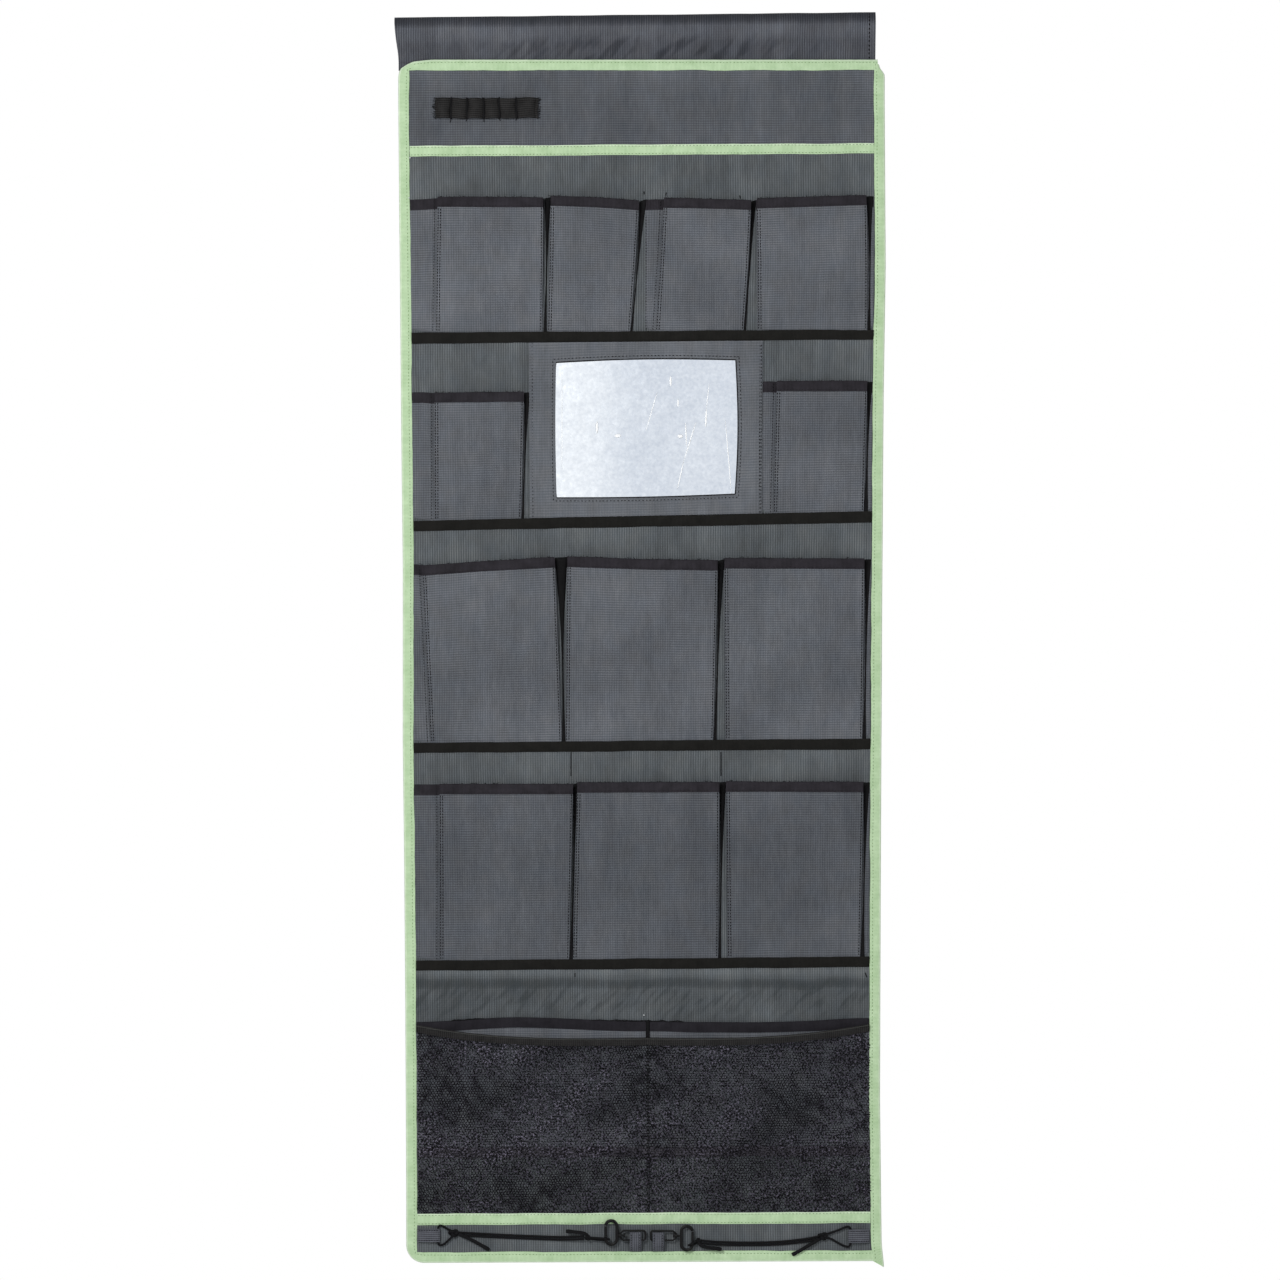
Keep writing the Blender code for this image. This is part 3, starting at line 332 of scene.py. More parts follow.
class Recipe:
    """A material under construction: nodes are made and joined by short calls."""

    def __init__(self, name, roughness, **settings):
        self.material = bpy.data.materials.new(name)
        self.material.use_nodes = True
        self.nodes = self.material.node_tree.nodes
        self.links = self.material.node_tree.links
        self.shader = self.nodes["Principled BSDF"]
        self.shader.inputs["Roughness"].default_value = roughness
        for key, value in settings.items():
            self.shader.inputs[key.replace("_", " ")].default_value = value

    def node(self, kind, *values, **named):
        """A new node, its inputs set or linked by place or by name."""
        node = self.nodes.new("ShaderNode" + kind)
        for key, value in (*enumerate(values), *named.items()):
            self.put(node, key, value)
        return node

    def put(self, node, key, value):
        if hasattr(value, "links"):
            self.links.new(value, node.inputs[key])
        else:
            node.inputs[key].default_value = value

    def calc(self, operation, *values, clamp=False):
        node = self.node("Math", *values)
        node.operation = operation
        node.use_clamp = clamp
        return node.outputs[0]

    def plus(self, first, second, clamp=False):
        return self.calc("ADD", first, second, clamp=clamp)

    def times(self, first, second, clamp=False):
        return self.calc("MULTIPLY", first, second, clamp=clamp)

    def scaled(self, value, amount, base, clamp=False):
        """The value times amount, and base on top."""
        return self.calc("MULTIPLY_ADD", value, amount, base, clamp=clamp)

    def sway(self, noise, amount):
        """A noise of 0 to 1, brought to swing evenly about nothing."""
        return self.scaled(noise, amount, -amount / 2)

    def place(self):
        """Sockets of the cloth's own two directions, in metres, and of the point on it."""
        node = self.node("UVMap")
        node.uv_map = "cloth"
        return *self.parts(node.outputs[0])[:2], node.outputs[0]

    def parts(self, point):
        return list(self.node("SeparateXYZ", point).outputs)

    def own_place(self):
        return self.node("TexCoord").outputs["Object"]

    def noise(self, point, size, detail=2.0, roughness=0.5):
        node = self.node("TexNoise", Vector=point, Scale=1 / size, Detail=detail, Roughness=roughness)
        return node.outputs[0]

    def wave(self, along, pitch, wander=None, amount=0.0):
        """A smooth 0 to 1 wave of that pitch; wander shifts its lines about."""
        if wander is not None:
            along = self.plus(along, self.times(wander, amount))
        return self.scaled(self.calc("SINE", self.times(along, 2 * math.pi / pitch)), 0.5, 0.5)

    def stretch(self, point, across, along):
        """The same point with its two directions scaled, to draw patterns out."""
        node = self.node("VectorMath", point, (across, along, 1.0))
        node.operation = "MULTIPLY"
        return node.outputs[0]

    def turn(self, point, degrees):
        """The same point turned in the cloth's own plane, or the scene's X-Z plane."""
        node = self.node("VectorRotate", Vector=point, Axis=(0.0, 0.0, 1.0), Angle=math.radians(degrees))
        node.rotation_type = "AXIS_ANGLE"
        return node.outputs[0]

    def band(self, value, middle, half):
        """1 at the middle, falling smoothly to 0 at half a width away."""
        away = self.calc("DIVIDE", self.calc("ABSOLUTE", self.calc("SUBTRACT", value, middle)), half)
        near = self.calc("SUBTRACT", 1.0, away, clamp=True)
        return self.times(near, self.calc("SUBTRACT", 2.0, near))

    def step(self, value, low, high):
        """Rises smoothly from 0 at low to 1 at high."""
        node = self.node("MapRange", value, low, high)
        node.interpolation_type = "SMOOTHSTEP"
        return node.outputs[0]

    def total(self, *parts):
        """The sum of (amount, socket) pairs."""
        found = 0.0
        for amount, socket in parts:
            found = self.scaled(socket, amount, found)
        return found

    def mix(self, share, first, second, blend="MIX"):
        node = self.node("Mix")
        node.data_type = "RGBA"
        node.blend_type = blend
        for key, value in ((0, share), (6, first), (7, second)):
            self.put(node, key, value)
        return node.outputs[2]

    def colour(self, socket):
        self.links.new(socket, self.shader.inputs["Base Color"])

    def done(self, tone, share, rough, height, distance, strength):
        """The material, its roughness running from rough's first to its second as share rises."""
        span = self.node("MapRange", share, 0.0, 1.0, *rough)
        bump = self.node("Bump", Height=height, Distance=distance, Strength=strength)
        self.colour(tone)
        self.links.new(span.outputs[0], self.shader.inputs["Roughness"])
        self.links.new(bump.outputs[0], self.shader.inputs["Normal"])
        return self.material


CLOTH_GLOSS = 0.12


def woven(name, dark, middle, light, across=0.0, along=0.0, pitch=0.0024, cloud=0.05, fold_shading=0.3, painted_shading=None):
    """Ribbed polyester: across is the strength of its vertical ribs, along of its level ones."""
    made = Recipe(name, 0.82, Specular_IOR_Level=CLOTH_GLOSS, Sheen_Weight=0.02, Sheen_Roughness=0.4)
    u, v, point = made.place()
    wander = made.noise(point, cloud)
    patch = made.noise(made.stretch(point, 1.0, 0.6), 0.028, 2.0)
    rest = made.calc("SUBTRACT", 1.0, patch)
    ribs, lines = (made.times(made.wave(way, pitch, wander, 0.0016), made.times(near, 2 * strength))
                   for way, near, strength in ((u, patch, across), (v, rest, along)))
    grain = made.noise(point, 0.0012, 1.0)
    slub = made.noise(made.stretch(point, 1.0, 0.25), 0.0034, 2.0)
    height = made.plus(made.plus(ribs, lines), made.times(grain, 0.55))
    share = made.scaled(made.calc("DIVIDE", height, across + along + 0.55), 0.75, 0.13)
    share = made.plus(share, made.sway(slub, 0.35))
    share = made.plus(share, made.sway(made.noise(point, cloud * 1.7, 3.0), 0.7))
    # Painted light and shade, added to the tone by the functions above
    if painted_shading is not None:
        share = made.plus(share, painted_shading(made, point))
    # Soft darker and lighter vertical streaks: painted shade of the cloth's folds
    fold_shade = made.noise(made.stretch(point, 1.0, 0.09), 0.011, 2.0)
    share = made.plus(share, made.sway(fold_shade, fold_shading), clamp=True)
    lower = made.mix(made.times(share, 2.0, clamp=True), dark, middle)
    upper = made.scaled(share, 2.0, -1.0, clamp=True)
    tint = made.scaled(made.noise(point, 0.019, 2.0), 3.0, -1.0, clamp=True)
    hue = made.mix(tint, (1.012, 0.995, 0.98, 1.0), (0.985, 1.0, 1.025, 1.0))
    tone = made.mix(1.0, made.mix(upper, lower, light), hue, "MULTIPLY")
    return made.done(tone, share, (0.9, 0.72), height, 0.00022, 0.7)


def ribbed_tape(name, dark, light, pitch=0.0013, contrast=0.6, fold_highlight=None):
    """Woven tape: fine ribs across it, and a painted highlight in the given colour along its folded or upper
    edge.
    """
    made = Recipe(name, 0.8, Specular_IOR_Level=CLOTH_GLOSS)
    u, v, point = made.place()
    ribs = made.wave(u, pitch, made.noise(point, 0.02), 0.0006)
    threads = made.wave(v, pitch * 0.8)
    clouds = made.noise(point, 0.012, 4.0, 0.6)
    grain = made.noise(point, 0.0009, 1.0)
    height = made.plus(made.times(ribs, contrast), made.times(threads, 0.3))
    height = made.plus(height, made.times(grain, 0.4))
    share = made.plus(made.sway(clouds, 0.8), made.calc("DIVIDE", height, contrast + 0.7), clamp=True)
    base = made.mix(share, dark, light)
    if fold_highlight is not None:
        # A painted highlight along the tape's fold and its upper edge, patchy with the clouds
        edge = made.calc("MAXIMUM", made.band(v, FOLD_LINE, 0.0012), made.band(v, -0.0007, 0.0010))
        edge = made.times(edge, made.scaled(clouds, 1.2, 0.1, clamp=True))
        base = made.mix(edge, base, fold_highlight)
    return made.done(base, share, (0.9, 0.7), height, 0.00018, 0.6)


def moulded(name, dark, light, roughness, gloss=0.1):
    """Hard plastic with a faint grain and scuffs."""
    made = Recipe(name, roughness, Specular_IOR_Level=gloss)
    point = made.own_place()
    grain = made.noise(point, 0.0006, 2.0)
    scuffs = made.noise(point, 0.004, 4.0, 0.7)
    rough = (roughness - 0.08, roughness + 0.14)
    return made.done(made.mix(scuffs, dark, light), scuffs, rough, grain, 0.00004, 0.5)


def netted(name, dark, light):
    """Knitted net: dark threads with light specks where they turn to the light."""
    made = Recipe(name, 0.8, Specular_IOR_Level=CLOTH_GLOSS)
    point = made.place()[2]
    speck = made.scaled(made.noise(point, 0.0022, 1.0), 5.0, -2.35, clamp=True)
    # Broad slanting patches set how strong the painted highlights are: painted light and shade across the
    # net's folds
    fold = made.stretch(made.turn(point, -30), 0.5, 1.0)
    patch = made.scaled(made.noise(fold, 0.055, 2.0), 4.0, -1.5, clamp=True)
    share = made.times(speck, made.scaled(patch, 0.85, 0.15))
    grain = made.noise(point, 0.0007, 1.0)
    return made.done(made.mix(share, dark, light), share, (0.9, 0.7), grain, 0.00015, 0.6)


def braided(name, dark, light, pitch):
    """Round braided cord: two sets of slanting strands."""
    made = Recipe(name, 0.75, Specular_IOR_Level=0.08)
    u, v, point = made.place()
    one = made.wave(made.plus(u, v), pitch)
    other = made.wave(made.calc("SUBTRACT", u, v), pitch)
    strands = made.calc("MAXIMUM", one, other)
    fuzz = made.noise(point, 0.0008, 2.0)
    share = made.times(strands, made.scaled(fuzz, 0.8, 0.4), clamp=True)
    return made.done(made.mix(share, dark, light), share, (0.9, 0.65), strands, 0.00025, 0.8)


def silvered(name):
    """Mirror foil: bluish, brighter to the left as a painted reflection, crinkled and mottled."""
    made = Recipe(name, 0.06, Metallic=1.0)
    point = made.own_place()
    haze = made.noise(point, 0.09, 2.0)
    mottle = made.noise(made.stretch(point, 1.0, 0.7), 0.007, 4.0, 0.65)
    crinkle = made.noise(point, 0.0032, 3.0, 0.6)
    # Brighter to the left: a painted reflection
    left = made.step(made.parts(point)[0], -0.005, -0.065)
    share = made.total((0.55, left), (0.45, mottle), (0.9, crinkle), (0.4, haze))
    share = made.calc("SUBTRACT", share, 0.645, clamp=True)
    tone = made.mix(share, colour(200, 208, 220), colour(241, 246, 251))
    height = made.total((0.6, mottle), (0.3, crinkle))
    return made.done(tone, mottle, (0.04, 0.2), height, 0.0006, 0.3)


# Painted light and shade on the cloth: darker and lighter places, as shares added to its tone


def diagonal(made, point, across, along):
    """Streaks that rise to the right, 0 or 1 with soft edges."""
    drawn = made.stretch(made.turn(point, -45), 1 / along, 1 / across)
    return made.scaled(made.noise(drawn, 1.0, 1.0), 4.5, -2.1, clamp=True)


# Painted shade on the sleeve: a dark band along its top where it curves back, a band of painted light below
# it, dark slanting crease shade across its middle, and a little shade lower down
def sleeve_painted_shade(made, _):
    x, _, z = made.parts(made.own_place())
    level = made.scaled(x, -0.0108, z)
    middle = made.times(made.band(x, -0.005, 0.20), made.band(level, -0.028, 0.020))
    upright = made.node("CombineXYZ", x, z).outputs[0]
    dark = made.times(diagonal(made, upright, 0.0100, 0.034), middle)
    return made.total((-0.42, made.band(level, 0.0085, 0.0095)), (0.14, made.band(level, -0.006, 0.0100)),
                      (-0.55, dark), (-0.06, made.band(level, -0.030, 0.016)))


# Painted shade of the wrinkled strip between row 4 and row 5: the strip a little darker overall, a dark wavy
# fold line, dark slanting crease shade, and a painted highlight just above the fold
def panel_painted_shade(made, point):
    z = made.parts(made.own_place())[2]
    strip = made.band(z, -0.972, 0.030)
    fold = made.band(made.scaled(made.noise(point, 0.06, 1.0), 0.009, z), -0.9530, 0.0058)
    dark = made.times(diagonal(made, point, 0.0070, 0.026), made.band(z, -0.975, 0.022))
    return made.total((-0.12, strip), (-0.32, fold), (-0.26, dark), (0.16, made.band(z, -0.9455, 0.005)))


# Painted light and shade on the pockets' cloth, as the light falls unevenly: the header and row 4 darker, the
# left of row 1 lighter
def pocket_painted_light(made, _):
    x, _, z = made.parts(made.own_place())
    left = made.scaled(x, -2.0, 0.25, clamp=True)
    return made.total((-0.16, made.band(z, -0.082, 0.05)), (-0.20, made.band(z, -0.850, 0.13)),
                      (0.14, made.times(left, made.band(z, -0.24, 0.10))))


# Where across the folded tape its painted highlight runs
FOLD_LINE = 0.0119
# CLOTH, POCKET and SLEEVE take painted light and shade from the functions above
CLOTH = woven("grey_polyester", colour(58, 62, 64), colour(83, 87, 90), colour(110, 115, 117),
              across=1.0, along=0.2, fold_shading=0.45, painted_shading=panel_painted_shade)
POCKET = woven("pocket_polyester", colour(63, 66, 71), colour(88, 91, 96), colour(115, 118, 124),
               across=0.6, along=0.8, painted_shading=pocket_painted_light)
FRAME = woven("frame_polyester", colour(70, 73, 77), colour(95, 98, 103), colour(116, 119, 124),
              across=0.15, along=0.35, pitch=0.0028)
SLEEVE = woven("sleeve_polyester", colour(50, 52, 57), colour(75, 77, 83), colour(102, 105, 111),
               across=1.0, along=0.1, cloud=0.035, fold_shading=0.4, painted_shading=sleeve_painted_shade)
# The green tape has a painted highlight along its fold and upper edge
GREEN = ribbed_tape("green_binding", colour(146, 178, 130), colour(208, 230, 195), fold_highlight=colour(218, 235, 208))
HEM = ribbed_tape("hem_tape", colour(11, 10, 12), colour(54, 51, 57))
INNER_HEM = ribbed_tape("inner_hem_tape", colour(10, 9, 12), colour(42, 40, 46))
TAPE = ribbed_tape("black_tape", colour(7, 7, 6), colour(29, 28, 26))
HIDDEN_TAPE = ribbed_tape("row_tape_behind_net", colour(58, 57, 62), colour(84, 82, 88))
ELASTIC = ribbed_tape("black_elastic", colour(7, 7, 7), colour(48, 47, 47), pitch=0.0021, contrast=0.9)
WEB = ribbed_tape("grey_webbing", colour(38, 40, 45), colour(104, 106, 114), pitch=0.0021, contrast=0.9)
SELVEDGE = ribbed_tape("selvedge_thread", colour(38, 39, 38), colour(80, 81, 79), pitch=0.0012)
THREAD_WHITE = ribbed_tape("white_thread", colour(205, 208, 210), colour(240, 242, 244), pitch=0.0006)
THREAD_GREEN = ribbed_tape("green_thread", colour(96, 128, 82), colour(136, 166, 120), pitch=0.0006)
THREAD_BLACK = ribbed_tape("black_thread", colour(8, 8, 9), colour(24, 24, 26), pitch=0.0006)
# Near-black, for strips of painted shade in the gaps between pockets and at the inner pockets' centre seam
GAP_DARK = ribbed_tape("painted_gap_shade", colour(4, 4, 5), colour(18, 18, 20), pitch=0.0014)
NET = netted("black_net", colour(9, 8, 12), colour(126, 121, 138))
CORD = braided("black_cord", colour(5, 5, 6), colour(27, 27, 29), 0.0016)
PLASTIC = moulded("black_plastic", colour(9, 9, 10), colour(23, 23, 24), 0.42)
SILVER = silvered("mirror_sheet")
SCRATCH = moulded("scratch_haze", colour(246, 248, 250), colour(253, 254, 255), 0.5)


def seat(obj, slot, body, *nodes):
    """Puts a piece on its body, in place of the nodes named. slot is not used."""
    if body is not None:
        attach(obj, body)
    if nodes:
        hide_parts(*nodes)
    return obj


def spread(name, x, depth, z, thickness, finish, slot, node, uv=None):
    """Cloth that lies with the panel, from its straight places, in place of its node."""
    points = laid(x, depth, z)
    return seat(skin(name, points, pair(x, z) if uv is None else uv, thickness, finish), slot, "root", node)


def bundle(name, pieces, slot="hem_tape", body="root"):
    return seat(join(name, pieces), slot, body)


def sew(name, lines, pitch, length, width, seed, slot="hem_tape", body="root", thread=THREAD_BLACK):
    return seat(stitches(name, lines, pitch, length, width, thread, seed), slot, body)


# Camera, light and floor

CAMERA_AWAY = 6.0
FRAME_WIDTH = 1.28
SENSOR = 36.0
FLOOR_Z = -1.62
FLOOR_RADIUS = 3.0
FLOOR_FADE_FROM = 1.7
MIDDLE = (photo_x(640), FRONT, photo_z(640))
AMBIENT = 0.26
# Name, place, size across in metres, power in watts
LAMPS = (
    ("key", (-0.9, -2.5, 0.1), 0.8, 46),
    ("fill", (2.2, -3.8, -1.2), 1.6, 32),
    ("rear", (1.4, 3.6, 0.2), 2.0, 60),
)


def camera():
    data = bpy.data.cameras.new("camera")
    data.sensor_width = SENSOR
    data.lens = SENSOR * CAMERA_AWAY / FRAME_WIDTH
    data.clip_start = 0.1
    data.clip_end = 100
    obj = bpy.data.objects.new("camera", data)
    bpy.context.scene.collection.objects.link(obj)
    obj.location = (MIDDLE[0], FRONT - CAMERA_AWAY, MIDDLE[2])
    obj.rotation_euler = (math.radians(90), 0, 0)
    bpy.context.scene.camera = obj


def lamp(name, place, size, power):
    data = bpy.data.lights.new(name, "AREA")
    data.shape = "DISK"
    data.size = size
    data.energy = power
    obj = bpy.data.objects.new(name, data)
    bpy.context.scene.collection.objects.link(obj)
    obj.location = place
    aim = Vector(MIDDLE) - Vector(place)
    obj.rotation_euler = aim.to_track_quat("-Z", "Y").to_euler()


def seen_direct(nodes, links):
    """1 for rays that the camera, a gloss or a clear surface sends."""
    path = nodes.new("ShaderNodeLightPath")
    found = path.outputs["Is Camera Ray"]
    for name in ("Is Glossy Ray", "Is Transmission Ray"):
        both = nodes.new("ShaderNodeMath")
        both.operation = "MAXIMUM"
        links.new(found, both.inputs[0])
        links.new(path.outputs[name], both.inputs[1])
        found = both.outputs[0]
    return found


def mix_shaders(nodes, links, share, first, second, output):
    mix = nodes.new("ShaderNodeMixShader")
    for place, socket in enumerate((share, first.outputs[0], second.outputs[0])):
        links.new(socket, mix.inputs[place])
    links.new(mix.outputs[0], nodes[output].inputs[0])


def world(ambient):
    made = bpy.data.worlds.new("studio")
    bpy.context.scene.world = made
    made.use_nodes = True
    nodes, links = made.node_tree.nodes, made.node_tree.links
    soft = nodes["Background"]
    soft.inputs[0].default_value = (0.97, 0.985, 1.0, 1.0)
    soft.inputs[1].default_value = ambient
    white = nodes.new("ShaderNodeBackground")
    white.inputs[0].default_value = (1.0, 1.0, 1.0, 1.0)
    mix_shaders(nodes, links, seen_direct(nodes, links), soft, white, "World Output")


def floor():
    """A pale disc that keeps the shadow near the object and fades to white at its rim."""
    turns = np.linspace(0, 2 * math.pi, 96, endpoint=False)
    rings = np.linspace(0, 1, 13)[1:] * FLOOR_RADIUS
    verts = [(0.0, 0.0, 0.0)]
    verts += [(r * math.cos(t), r * math.sin(t), 0.0) for r in rings for t in turns]
    count = len(turns)
    sides = [(i, (i + 1) % count) for i in range(count)]
    faces = [(0, 1 + i, 1 + j) for i, j in sides]
    for ring in range(len(rings) - 1):
        inner, outer = 1 + ring * count, 1 + (ring + 1) * count
        faces += [(inner + i, outer + i, outer + j, inner + j) for i, j in sides]
    made = Recipe("studio_floor", 0.9)
    point = made.own_place()
    made.colour(made.mix(made.noise(point, 0.4, 2.0), (0.80, 0.80, 0.80, 1), (0.84, 0.84, 0.84, 1)))
    length = made.node("VectorMath", point)
    length.operation = "LENGTH"
    fade = made.step(length.outputs["Value"], FLOOR_FADE_FROM, FLOOR_RADIUS * 0.97)
    share = made.times(fade, seen_direct(made.nodes, made.links))
    mix_shaders(made.nodes, made.links, share, made.shader, made.node("Emission"), "Material Output")
    obj = make("floor", verts, faces, np.array(verts)[:, :2], made.material)
    obj.location = (0, 0, FLOOR_Z)


# Tie cords: the routes that part.py gives, as (x, depth, z)

CORD_RADIUS = 0.0011
LEFT_CORD = (
    (-0.0588, 0.0054, -1.2100), (-0.0700, 0.0040, -1.2105), (-0.0850, 0.0020, -1.2108),
    (-0.1050, 0.0015, -1.2102), (-0.1300, 0.0015, -1.2092), (-0.1550, 0.0015, -1.2080),
    (-0.1750, 0.0019, -1.2068), (-0.1870, 0.0028, -1.2058), (-0.1945, 0.0033, -1.2030),
    (-0.2000, 0.0030, -1.1998), (-0.2037, 0.0028, -1.1994), (-0.2048, 0.0028, -1.2030),
    (-0.2048, 0.0028, -1.2090), (-0.2048, 0.0028, -1.2160), (-0.2030, 0.0028, -1.2190),
    (-0.1985, 0.0030, -1.2176), (-0.1930, 0.0033, -1.2125), (-0.1870, 0.0028, -1.2084),
    (-0.1750, 0.0019, -1.2094), (-0.1550, 0.0015, -1.2106), (-0.1300, 0.0015, -1.2118),
    (-0.1050, 0.0015, -1.2128), (-0.0850, 0.0020, -1.2134), (-0.0700, 0.0040, -1.2131),
    (-0.0588, 0.0054, -1.2126),
)
LEFT_TAIL = (
    (-0.1850, 0.0030, -1.2075), (-0.1760, 0.0036, -1.2112), (-0.1680, 0.0036, -1.2152),
    (-0.1600, 0.0030, -1.2198), (-0.1537, 0.0026, -1.2236),
)
LEFT_KNOT = (-0.1890, 0.0034, -1.2068)
LEFT_END_LOOP = (
    (-0.0535, 0.0064, -1.2108), (-0.0465, 0.0083, -1.2112), (-0.0400, 0.0089, -1.2116),
    (-0.0358, 0.0082, -1.2121), (-0.0336, 0.0056, -1.2127), (-0.0358, 0.0030, -1.2132),
    (-0.0400, 0.0023, -1.2136), (-0.0465, 0.0032, -1.2132), (-0.0535, 0.0048, -1.2120),
)
LEFT_END_TAIL = (
    (-0.0550, 0.0058, -1.2098), (-0.0580, 0.0068, -1.2068), (-0.0680, 0.0070, -1.2052),
    (-0.0770, 0.0062, -1.2046),
)
LEFT_END_KNOT = (-0.0550, 0.0056, -1.2112)
RIGHT_CORD = (
    (0.0588, 0.0054, -1.2139), (0.0700, 0.0040, -1.2152), (0.0850, 0.0020, -1.2161),
    (0.1000, 0.0015, -1.2164), (0.1200, 0.0015, -1.2163), (0.1380, 0.0015, -1.2155),
    (0.1580, 0.0016, -1.2134), (0.1750, 0.0028, -1.2103), (0.1860, 0.0033, -1.2070),
    (0.1960, 0.0032, -1.2036), (0.2030, 0.0030, -1.2006), (0.2064, 0.0028, -1.2008),
    (0.2074, 0.0028, -1.2048), (0.2074, 0.0028, -1.2100), (0.2074, 0.0028, -1.2168),
    (0.2058, 0.0028, -1.2203), (0.2015, 0.0030, -1.2198), (0.1940, 0.0032, -1.2160),
    (0.1860, 0.0033, -1.2120), (0.1750, 0.0028, -1.2129), (0.1580, 0.0016, -1.2160),
    (0.1380, 0.0015, -1.2181), (0.1200, 0.0015, -1.2189), (0.1000, 0.0015, -1.2190),
    (0.0850, 0.0020, -1.2187), (0.0700, 0.0040, -1.2178), (0.0588, 0.0054, -1.2165),
)
RIGHT_TAIL = (
    (0.1770, 0.0030, -1.2125), (0.1700, 0.0040, -1.2165), (0.1630, 0.0040, -1.2205),
    (0.1560, 0.0036, -1.2248), (0.1490, 0.0032, -1.2285),
)
RIGHT_KNOT = (0.1800, 0.0034, -1.2098)
RIGHT_END_LOOP = (
    (0.0585, 0.0054, -1.2139), (0.0535, 0.0066, -1.2142), (0.0505, 0.0086, -1.2160),
    (0.0480, 0.0087, -1.2174), (0.0462, 0.0076, -1.2182), (0.0455, 0.0056, -1.2186),
    (0.0462, 0.0036, -1.2188), (0.0480, 0.0025, -1.2188), (0.0510, 0.0028, -1.2180),
    (0.0540, 0.0044, -1.2162), (0.0585, 0.0050, -1.2162),
)
RIGHT_END_TAIL = (
    (0.0555, 0.0058, -1.2158), (0.0585, 0.0078, -1.2190), (0.0680, 0.0076, -1.2212),
    (0.0785, 0.0064, -1.2228),
)
RIGHT_END_KNOT = (0.0552, 0.0056, -1.2142)
# Each knot's radii and how far it leans, in radians
TIE_KNOT_SHAPE = ((0.0055, 0.0028, 0.0040), 0.3)
END_KNOT_SHAPE = ((0.0030, 0.0026, 0.0028), 0.9)
TIE_STEP, LOOP_STEP = 0.0022, 0.0018
LEFT_CORD_LENGTH = 0.316
RIGHT_CORD_LENGTH = 0.320
LEFT_LOOP_LENGTH = 0.043
RIGHT_LOOP_LENGTH = 0.032


def world_route(route):
    return [straight(*point) for point in route]


def knot(name, centre, radii, lean):
    """An overhand knot: one strand that winds through its own loop."""
    turn = np.linspace(0, 2 * math.pi, 72)
    x = (np.sin(turn) + 2 * np.sin(2 * turn)) / 3
    z = (np.cos(turn) - 2 * np.cos(2 * turn)) / 3
    y = np.sin(3 * turn)
    reach = [radius - CORD_RADIUS for radius in radii]
    across = x * math.cos(lean) - z * math.sin(lean)
    upright = x * math.sin(lean) + z * math.cos(lean)
    path = straight(centre[0] + across * reach[0], centre[1] + y * reach[1] * 0.7,
                    centre[2] + upright * reach[2])
    return tube(name, path, CORD_RADIUS * 1.35, CORD, sides=10)


def tail(name, route):
    """A cord's free end, a little swollen where it was melted."""
    path = smooth_path(world_route(route), TIE_STEP)
    radii = np.full(len(path), CORD_RADIUS * 1.55)
    radii[-3:] = CORD_RADIUS * np.array([1.8, 1.9, 1.4])
    return tube(name, path, radii, CORD)


def cord(names, tied, knot_shape, spacing, body, node, tab=None, bend=()):
    """A cord, its free end and its knot, by those names. With a tab, the cord is baked where it lies and put
    on no body; the two places that bend gives are worked out but not used.
    """
    route, length, end, lump = tied
    path = smooth_path(world_route(route), spacing)
    main = seat(tube(names[0], path, CORD_RADIUS, CORD), "black_cord", None if tab else body, node)
    if tab:
        start, finish = (tuple(straight(x, 0.0, route[0][2])) for x in bend)
        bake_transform(main)
        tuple(start)
        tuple(finish)
    loose = [tail(names[1], end), knot(names[2], lump, *knot_shape)]
    for piece in loose:
        seat(piece, "black_cord", body)


def cords():
    for side, tie, loop, bend in (
        ("left", (LEFT_CORD, LEFT_CORD_LENGTH, LEFT_TAIL, LEFT_KNOT),
         (LEFT_END_LOOP, LEFT_LOOP_LENGTH, LEFT_END_TAIL, LEFT_END_KNOT), (-0.125, -0.062)),
        ("right", (RIGHT_CORD, RIGHT_CORD_LENGTH, RIGHT_TAIL, RIGHT_KNOT),
         (RIGHT_END_LOOP, RIGHT_LOOP_LENGTH, RIGHT_END_TAIL, RIGHT_END_KNOT), (0.125, 0.062)),
    ):
        names = [f"{side}_tie_{piece}" for piece in ("cord", "tail", "knot")]
        cord(names, tie, TIE_KNOT_SHAPE, TIE_STEP, "root", side + "_cord", side + "_tab", bend)
        names = [side + "_hook_loop", side + "_loop_tail", side + "_loop_knot"]
        cord(names, loop, END_KNOT_SHAPE, LOOP_STEP, side + "_hook", side + "_cord_end")


# The panel, its header, tapes and bindings


EDGE_INSET = 0.0009
HALF_SEAM_GAP = 0.00015
PANEL_CLOTH = 0.0008
TAPE_THICK = 0.0006
TAPE_SEAM = 0.0014
ROW_TAPE_SEAM = 0.0018


def grid(left, right, low, high, step):
    """Straight places across (columns) and up (rows), about step apart."""
    across = np.linspace(left, right, max(2, round((right - left) / step) + 1))
    up = np.linspace(low, high, max(2, round((high - low) / step) + 1))
    return np.meshgrid(across, up)


def rounded(x, z, centre, radius, upward):
    """Pulls the points of one left corner in to its round."""
    dx, dz = x - centre[0], z - centre[1]
    away = np.hypot(dx, dz)
    out = (dx < 0) & ((dz > 0) if upward else (dz < 0)) & (away > radius)
    pull = np.where(out, radius / np.maximum(away, 1e-9), 1.0)
    return centre[0] + dx * pull, centre[1] + dz * pull


def pucker(x, z, seed):
    """Short ripples that stitches draw in the cloth beside a tape."""
    total = 0.0
    edges = [HEADER_TAPE[0], HEADER_TAPE[1], *(foot - ROW_TAPE_WIDTH for foot in ROW_FEET), NET_TAPE[1]]
    for number, edge in enumerate(edges):
        wave = ripple(x, z * 0.15, 0.006, seed + number)
        total = total + 0.00028 * wave * np.exp(-np.abs(z - edge) / 0.007)
    return total


